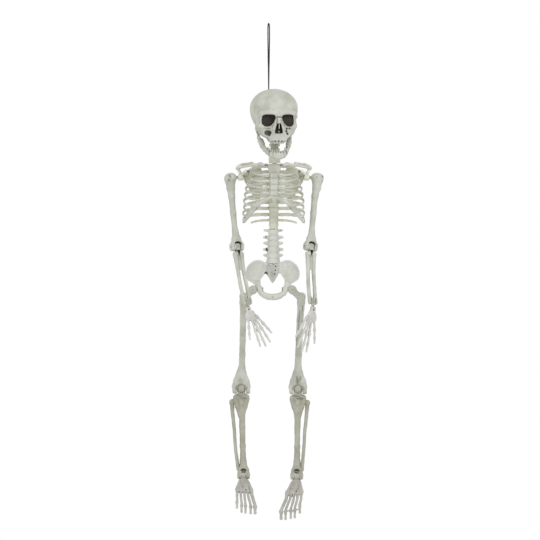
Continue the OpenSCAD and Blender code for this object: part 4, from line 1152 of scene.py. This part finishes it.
def leg(side):
    s = OUTWARD[side]
    hip, knee, ankle = at("hip_swing", side), at("knee", side), at("ankle", side)
    place = Place(knee)
    top = hip - knee
    shaft = top + [s * 19, 0, -14]
    way = unit(-shaft)
    low = np.minimum(np.minimum(top - 12, shaft - 12), (-21, -15, -14))
    high = np.maximum(np.maximum(top + 12, shaft + 12), (21, 13, 0))
    clay = Clay(low, high, 0.85)
    long = np.linalg.norm(shaft)
    clay.add(ball(top, 9.5))
    clay.add(cone(top, shaft + 5 * way, 6.2, 7.4), 2)
    clay.add(egg(shaft + [s * 1, 0, 0], (8.2, 8.4, 9)), 2)
    along = [(0, 7.6), (12, 8.4), (26, 7), (50, 6.4), (90, 5.9), (120, 5.9), (146, 6.4), (160, 8)]
    shift, fuller = (1.6, 1.0) if s > 0 else (0.2, 0.4)
    line = [shaft + t * way - [s * shift * np.clip((t - 20) / 50, 0, 1), 0, 0] for t, _ in along]
    clay.add(chain(line, [r + fuller * np.clip((t - 20) / 50, 0, 1) for t, r in along]), 2)
    for x in (-1, 1):
        flare = [(x * 13.4, 0, 3), (x * 10, 0, 16), (x * 4, 0, long - 158)]
        clay.add(chain(flare, [6.4, 6, 6]), 4)
    clay.add(block((-13.6, -7.4, 2), (13.6, 7, 15), 4), 4)
    clay.add(cone((0, 0, 12), (0, 0, 40), 8.6, 7), 4)
    clay.add(drum((-18.4, 0, 0), (18.4, 0, 0), 11.3, 3.2), 2)
    clay.wobble(0.2, 16, 41)
    clay.remember()
    slot = [block((-13, -2.45, -4.6), (3.6, 2.45, 8.5)), drum((0, -2.45, 0), (0, 2.45, 0), 4.9),
            drum((0, -20, 0), (0, 20, 0), 1.5)]
    at_hip = Place(top)
    clay.cut([seen_from(at_hip, flipped(p) if s < 0 else p) for p in slot])
    clay.cut(drum((-9.1, 0, 0), (9.1, 0, 0), 8.9))
    clay.cut(egg((0, -4, 0), (9.6, 10.4, 9.6)))
    clay.cut(block((-9.1, 7, -20), (9.1, 20, 13)))
    clay.cut(block((-9.1, -20, -20), (9.1, 20, 0)))
    clay.cut(block((-9.1, 0, -20), (9.1, 20, 9), 3))
    clay.cut(drum((-30, 0, 0), (30, 0, 0), PIN_TIGHT))
    clay.cut(pair(cone((12.6, -11.4, -7), (13.4, -11.2, 6), 0.8)), 1)
    if s > 0:
        clay.cut(cone((-1, -9.4, 13), (-2.4, -8.6, 23), 1.6, 0.8), 1.6)
    # Painted shade round the edge of the knee cap's opening.
    rim = [(9.6 * math.sin(a), -11.4, 9.6 * math.cos(a)) for a in np.linspace(-1.9, 1.9, 15)]
    paint = [(part, 0.5) for part in chain(rim, 1.9)]
    paint += [(cone((-1, -9.4, 13), (-2.4, -8.6, 24), 2.4, 1), 0.5 if s > 0 else 0.1)]
    # Painted shade inside the knee fork.
    paint += [(drum((-9.2, 0, 0), (9.2, 0, 0), 9.6), 0.6)]
    if s > 0:
        streaks = [cone((15, -6, 190), (14.4, -6, 178), 1.5), cone((10.4, -6.4, 172), (9, -6.4, 140), 1.4),
                   cone((3.6, -6.2, 162), (-1, -6, 112), 1.1), cone((-3, -5.4, 108), (-4, -5.4, 90), 1.2),
                   cone((3, -8, 18), (6, -8, 24), 1.2)]
        paint += [(part, 0.45) for part in streaks]
    paint += [(egg((s, -10, 15), (4, 6, 6)), 0.25)]
    clay.cast(f"femur_{side}_bone", place, f"thigh_{side}", [f"femur_{side}"], BONE, paint=paint)
    # Shin with both its bones
    foot = ankle - knee
    long = np.linalg.norm(foot)
    way = foot / long
    low = np.minimum(np.array((-26, -12, 0)), foot - [17, 12, 11])
    high = np.maximum(np.array((26, 11, 9)), foot + [17, 12, 0])
    clay = Clay(low, high, 0.8)
    clay.add(drum((-8.4, 0, 0), (8.4, 0, 0), 8, 1))
    clay.add(egg((0, -4, 0), (8.7, 9.6, 8.8)), 0.6)
    clay.add(block((-7.4, -6, -16), (7.4, 5, 0), 1), 1)
    clay.add(pair(egg((8, -0.5, -17.2), (8.6, 8.8, 5.1))), 1.5)
    along = [(19, 10), (30, 8.8), (46, 7), (80, 6), (120, 5.8), (150, 6.4), (166, 8)]
    clay.add(chain([way * t for t, _ in along], [r for _, r in along]), 3)
    clay.add(pair(chain([(11.4, 0, -22), (7.4, 0, -37), (2, 0, -56)], [6.2, 5.6, 5])), 3)
    clay.add(egg((0, -8.5, -29), (4.4, 2.6, 5)), 2)
    for x in (-1, 1):
        clay.add(chain([foot + [x * 8.8, 0, 1], foot + [x * 6, 0, 12], foot + [0, 0, 26]], [5, 5, 5]), 3)
    clay.add(block(foot + [-9, -6, 3], foot + [9, 6, 16], 3), 3)
    clay.add(drum(foot + [-13, 0, 0], foot + [13, 0, 0], 7, 2.2), 1.5)
    clay.add(block(foot + [-8, 4, 1], foot + [8, 8.6, 17], 2.4), 2)
    splint = [(s * 19.6, 2, -32), (s * 17.8, 2, -56), (s * 14.6, 1.5, -84), (s * 12, 1, -126),
              foot + [s * 11, 0.5, 13]]
    clay.add(chain(splint, [4.4, 3.8, 3.6, 3.4, 3.8]), 1)
    clay.add(egg((s * 19.8, 2, -29.5), (5.4, 5, 6.8)), 1.5)
    clay.add(cone((s * 9, -1, -25), (s * 18, 2, -29), 3.6, 3), 1.5)
    clay.wobble(0.2, 15, 43)
    clay.remember()
    clay.cut(drum((-30, 0, 0), (30, 0, 0), PIN_LOOSE))
    clay.cut(drum(foot + [-4.75, 0, 0], foot + [4.75, 0, 0], 10.3))
    clay.cut(block(foot + [-4.75, -20, -20], foot + [4.75, 20, 0]))
    clay.cut(drum(foot + [-30, 0, 0], foot + [30, 0, 0], PIN_TIGHT))
    arch = egg(foot + [0, -8.4, 11.5], (6, 3, 3.2))
    clay.cut(cone((-14, -9.6, -21.4), (14, -9.6, -21.4), 0.8), 1)
    clay.cut(arch, 1)
    scars = [egg((-4, -9.6, -15.5), (7, 4, 1.6)), egg((4, -9.6, -20), (6, 4, 1.4))]
    # Painted shade: the hollow over the ankle fork is painted near-black; the scars are brown marks.
    paint = [(arch, 0.9)] + [(part, 0.5 if s > 0 else 0.3) for part in scars]
    clay.cast(f"shin_{side}_bone", place, f"shin_{side}", [f"shin_{side}"], SHADED, paint=paint)


TOES = ((-15, -19.4, 0.985, 4), (-7, -10.2, 0.985, 3.1), (0.5, 0.4, 0.965, 3), (8, 8.5, 0.945, 3),
        (16, 17.6, 0.84, 3.1))
FOOT_SLANT = {"right": 0.05, "left": 0.14}
TARSAL = [(-8.4, -8.4), (9.6, -8.4), (13, -18), (16.4, -26), (19, -33), (18, -40), (-17.5, -40),
          (-17.5, -33), (-15.6, -26), (-12.6, -18)]
FOOT_LEN = 95.0
FOOT_DROP = {"right": 34, "left": 15}


def foot(side):
    ankle = at("ankle", side)
    drop = math.radians(FOOT_DROP[side])
    place = Place(ankle, z=(0, math.sin(drop), math.cos(drop)))
    mirror = mirror_where(side == "right")
    lean = FOOT_SLANT[side]
    clay = Clay((-37, -9, -97), (37, 28, 9), 0.6)
    clay.add(drum((-4.2, 0, 0), (4.2, 0, 0), 8, 0.8))
    clay.add(block((-4.2, -4, -20), (4.2, 7.5, 0), 0.8), 1)
    clay.add(chain([(0, 1, -18), (0, 12, -9), (0, 19, 0)], [6.5, 7, 7.2]), 2)
    clay.add(mirror(slab([(x + lean * z, z) for x, z in TARSAL], -3.6, 5.4, 1, 2.6)), 2)
    clay.add(mirror(chain([(-1, 0, -14), (-4, -1.5, -26), (-9, -1, -40)], [5.6, 6, 4.4])), 4)
    for base, tip, reach, r in TOES:
        end = -reach * FOOT_LEN
        ball_z = end * 0.8
        base, tip = base - 48 * lean, tip - reach * FOOT_LEN * lean
        root = (base * 0.92, 0.5, -34)
        clay.add(mirror(chain([root, (base, 0.5, -48), (tip * 0.97, 1.2, ball_z + 5), (tip, 1.5, ball_z)],
                              [r * 1.05, r * 0.84, r * 0.82, r * 1.12])), 0.8)
        clay.add(mirror(chain([(tip, 1.5, ball_z), (tip, 2, (ball_z + end) / 2), (tip, 2.5, end + r)],
                              [r * 1.05, r * 0.68, r * 0.86])), 0.6)
    if side == "left":
        web = [(-23.6, 1, -73), (-14, 1, -74), (-5, 1, -73), (3, 1, -70)]
        clay.add(chain(web, 1.6), 1)
    clay.wobble(0.16, 11, 47)
    clay.remember()
    for x in (-8.5, -2.8, 2.8, 8.6):
        for y in (-4.4, 5.6):
            x1, x2 = 1.4 * x - 33 * lean, 1.45 * x - 50 * lean
            clay.cut(mirror(cone((x1 * 0.85, y, -30), (x2, y, -52), 1.0)), 1)
    clay.cut(cone((-10, -4.6, -28), (10, -4.6, -28), 0.7), 1)
    clay.cut(drum((-20, 0, 0), (20, 0, 0), PIN_LOOSE))
    clay.cast(f"foot_{side}_bone", place, f"foot_{side}", [f"foot_{side}"], FOOT)


# ---- Knot and what stays as the CAD has it ----


def knot():
    clay = Clay((-6, -6, -6), (6, 6, 6), 0.3)
    line = []
    for t in np.linspace(0, 2 * math.pi, 40):
        reach = 2.6 + 0.9 * math.cos(3 * t)
        line.append((reach * math.cos(2 * t), reach * math.sin(2 * t), 2.2 * math.sin(3 * t)))
    clay.add(ball((0, 0, 0), 2.6))
    clay.add(chain(line, 1.25), 0.2)
    piece = clay.cast("cord_knot_turns", Place((0, 0, KNOT_Z)), "skull", ["cord_knot"], CORD)
    piece.data.attributes.new("strand", "FLOAT", "POINT").data.foreach_set(
        "value", np.full(len(piece.data.vertices), 0.35, np.float32))


skull()
jaw()
neck()
chest()
lumbar()
pelvis()
knot()
for each in SIDES:
    girdle(each)
    arm(each)
    hand(each)
    leg(each)
    foot(each)

for name, node in frame["nodes"].items():
    if node.hide_render:
        continue
    material = PEG if "_peg_" in name else STEEL
    node.data.materials.clear()
    node.data.materials.append(material)
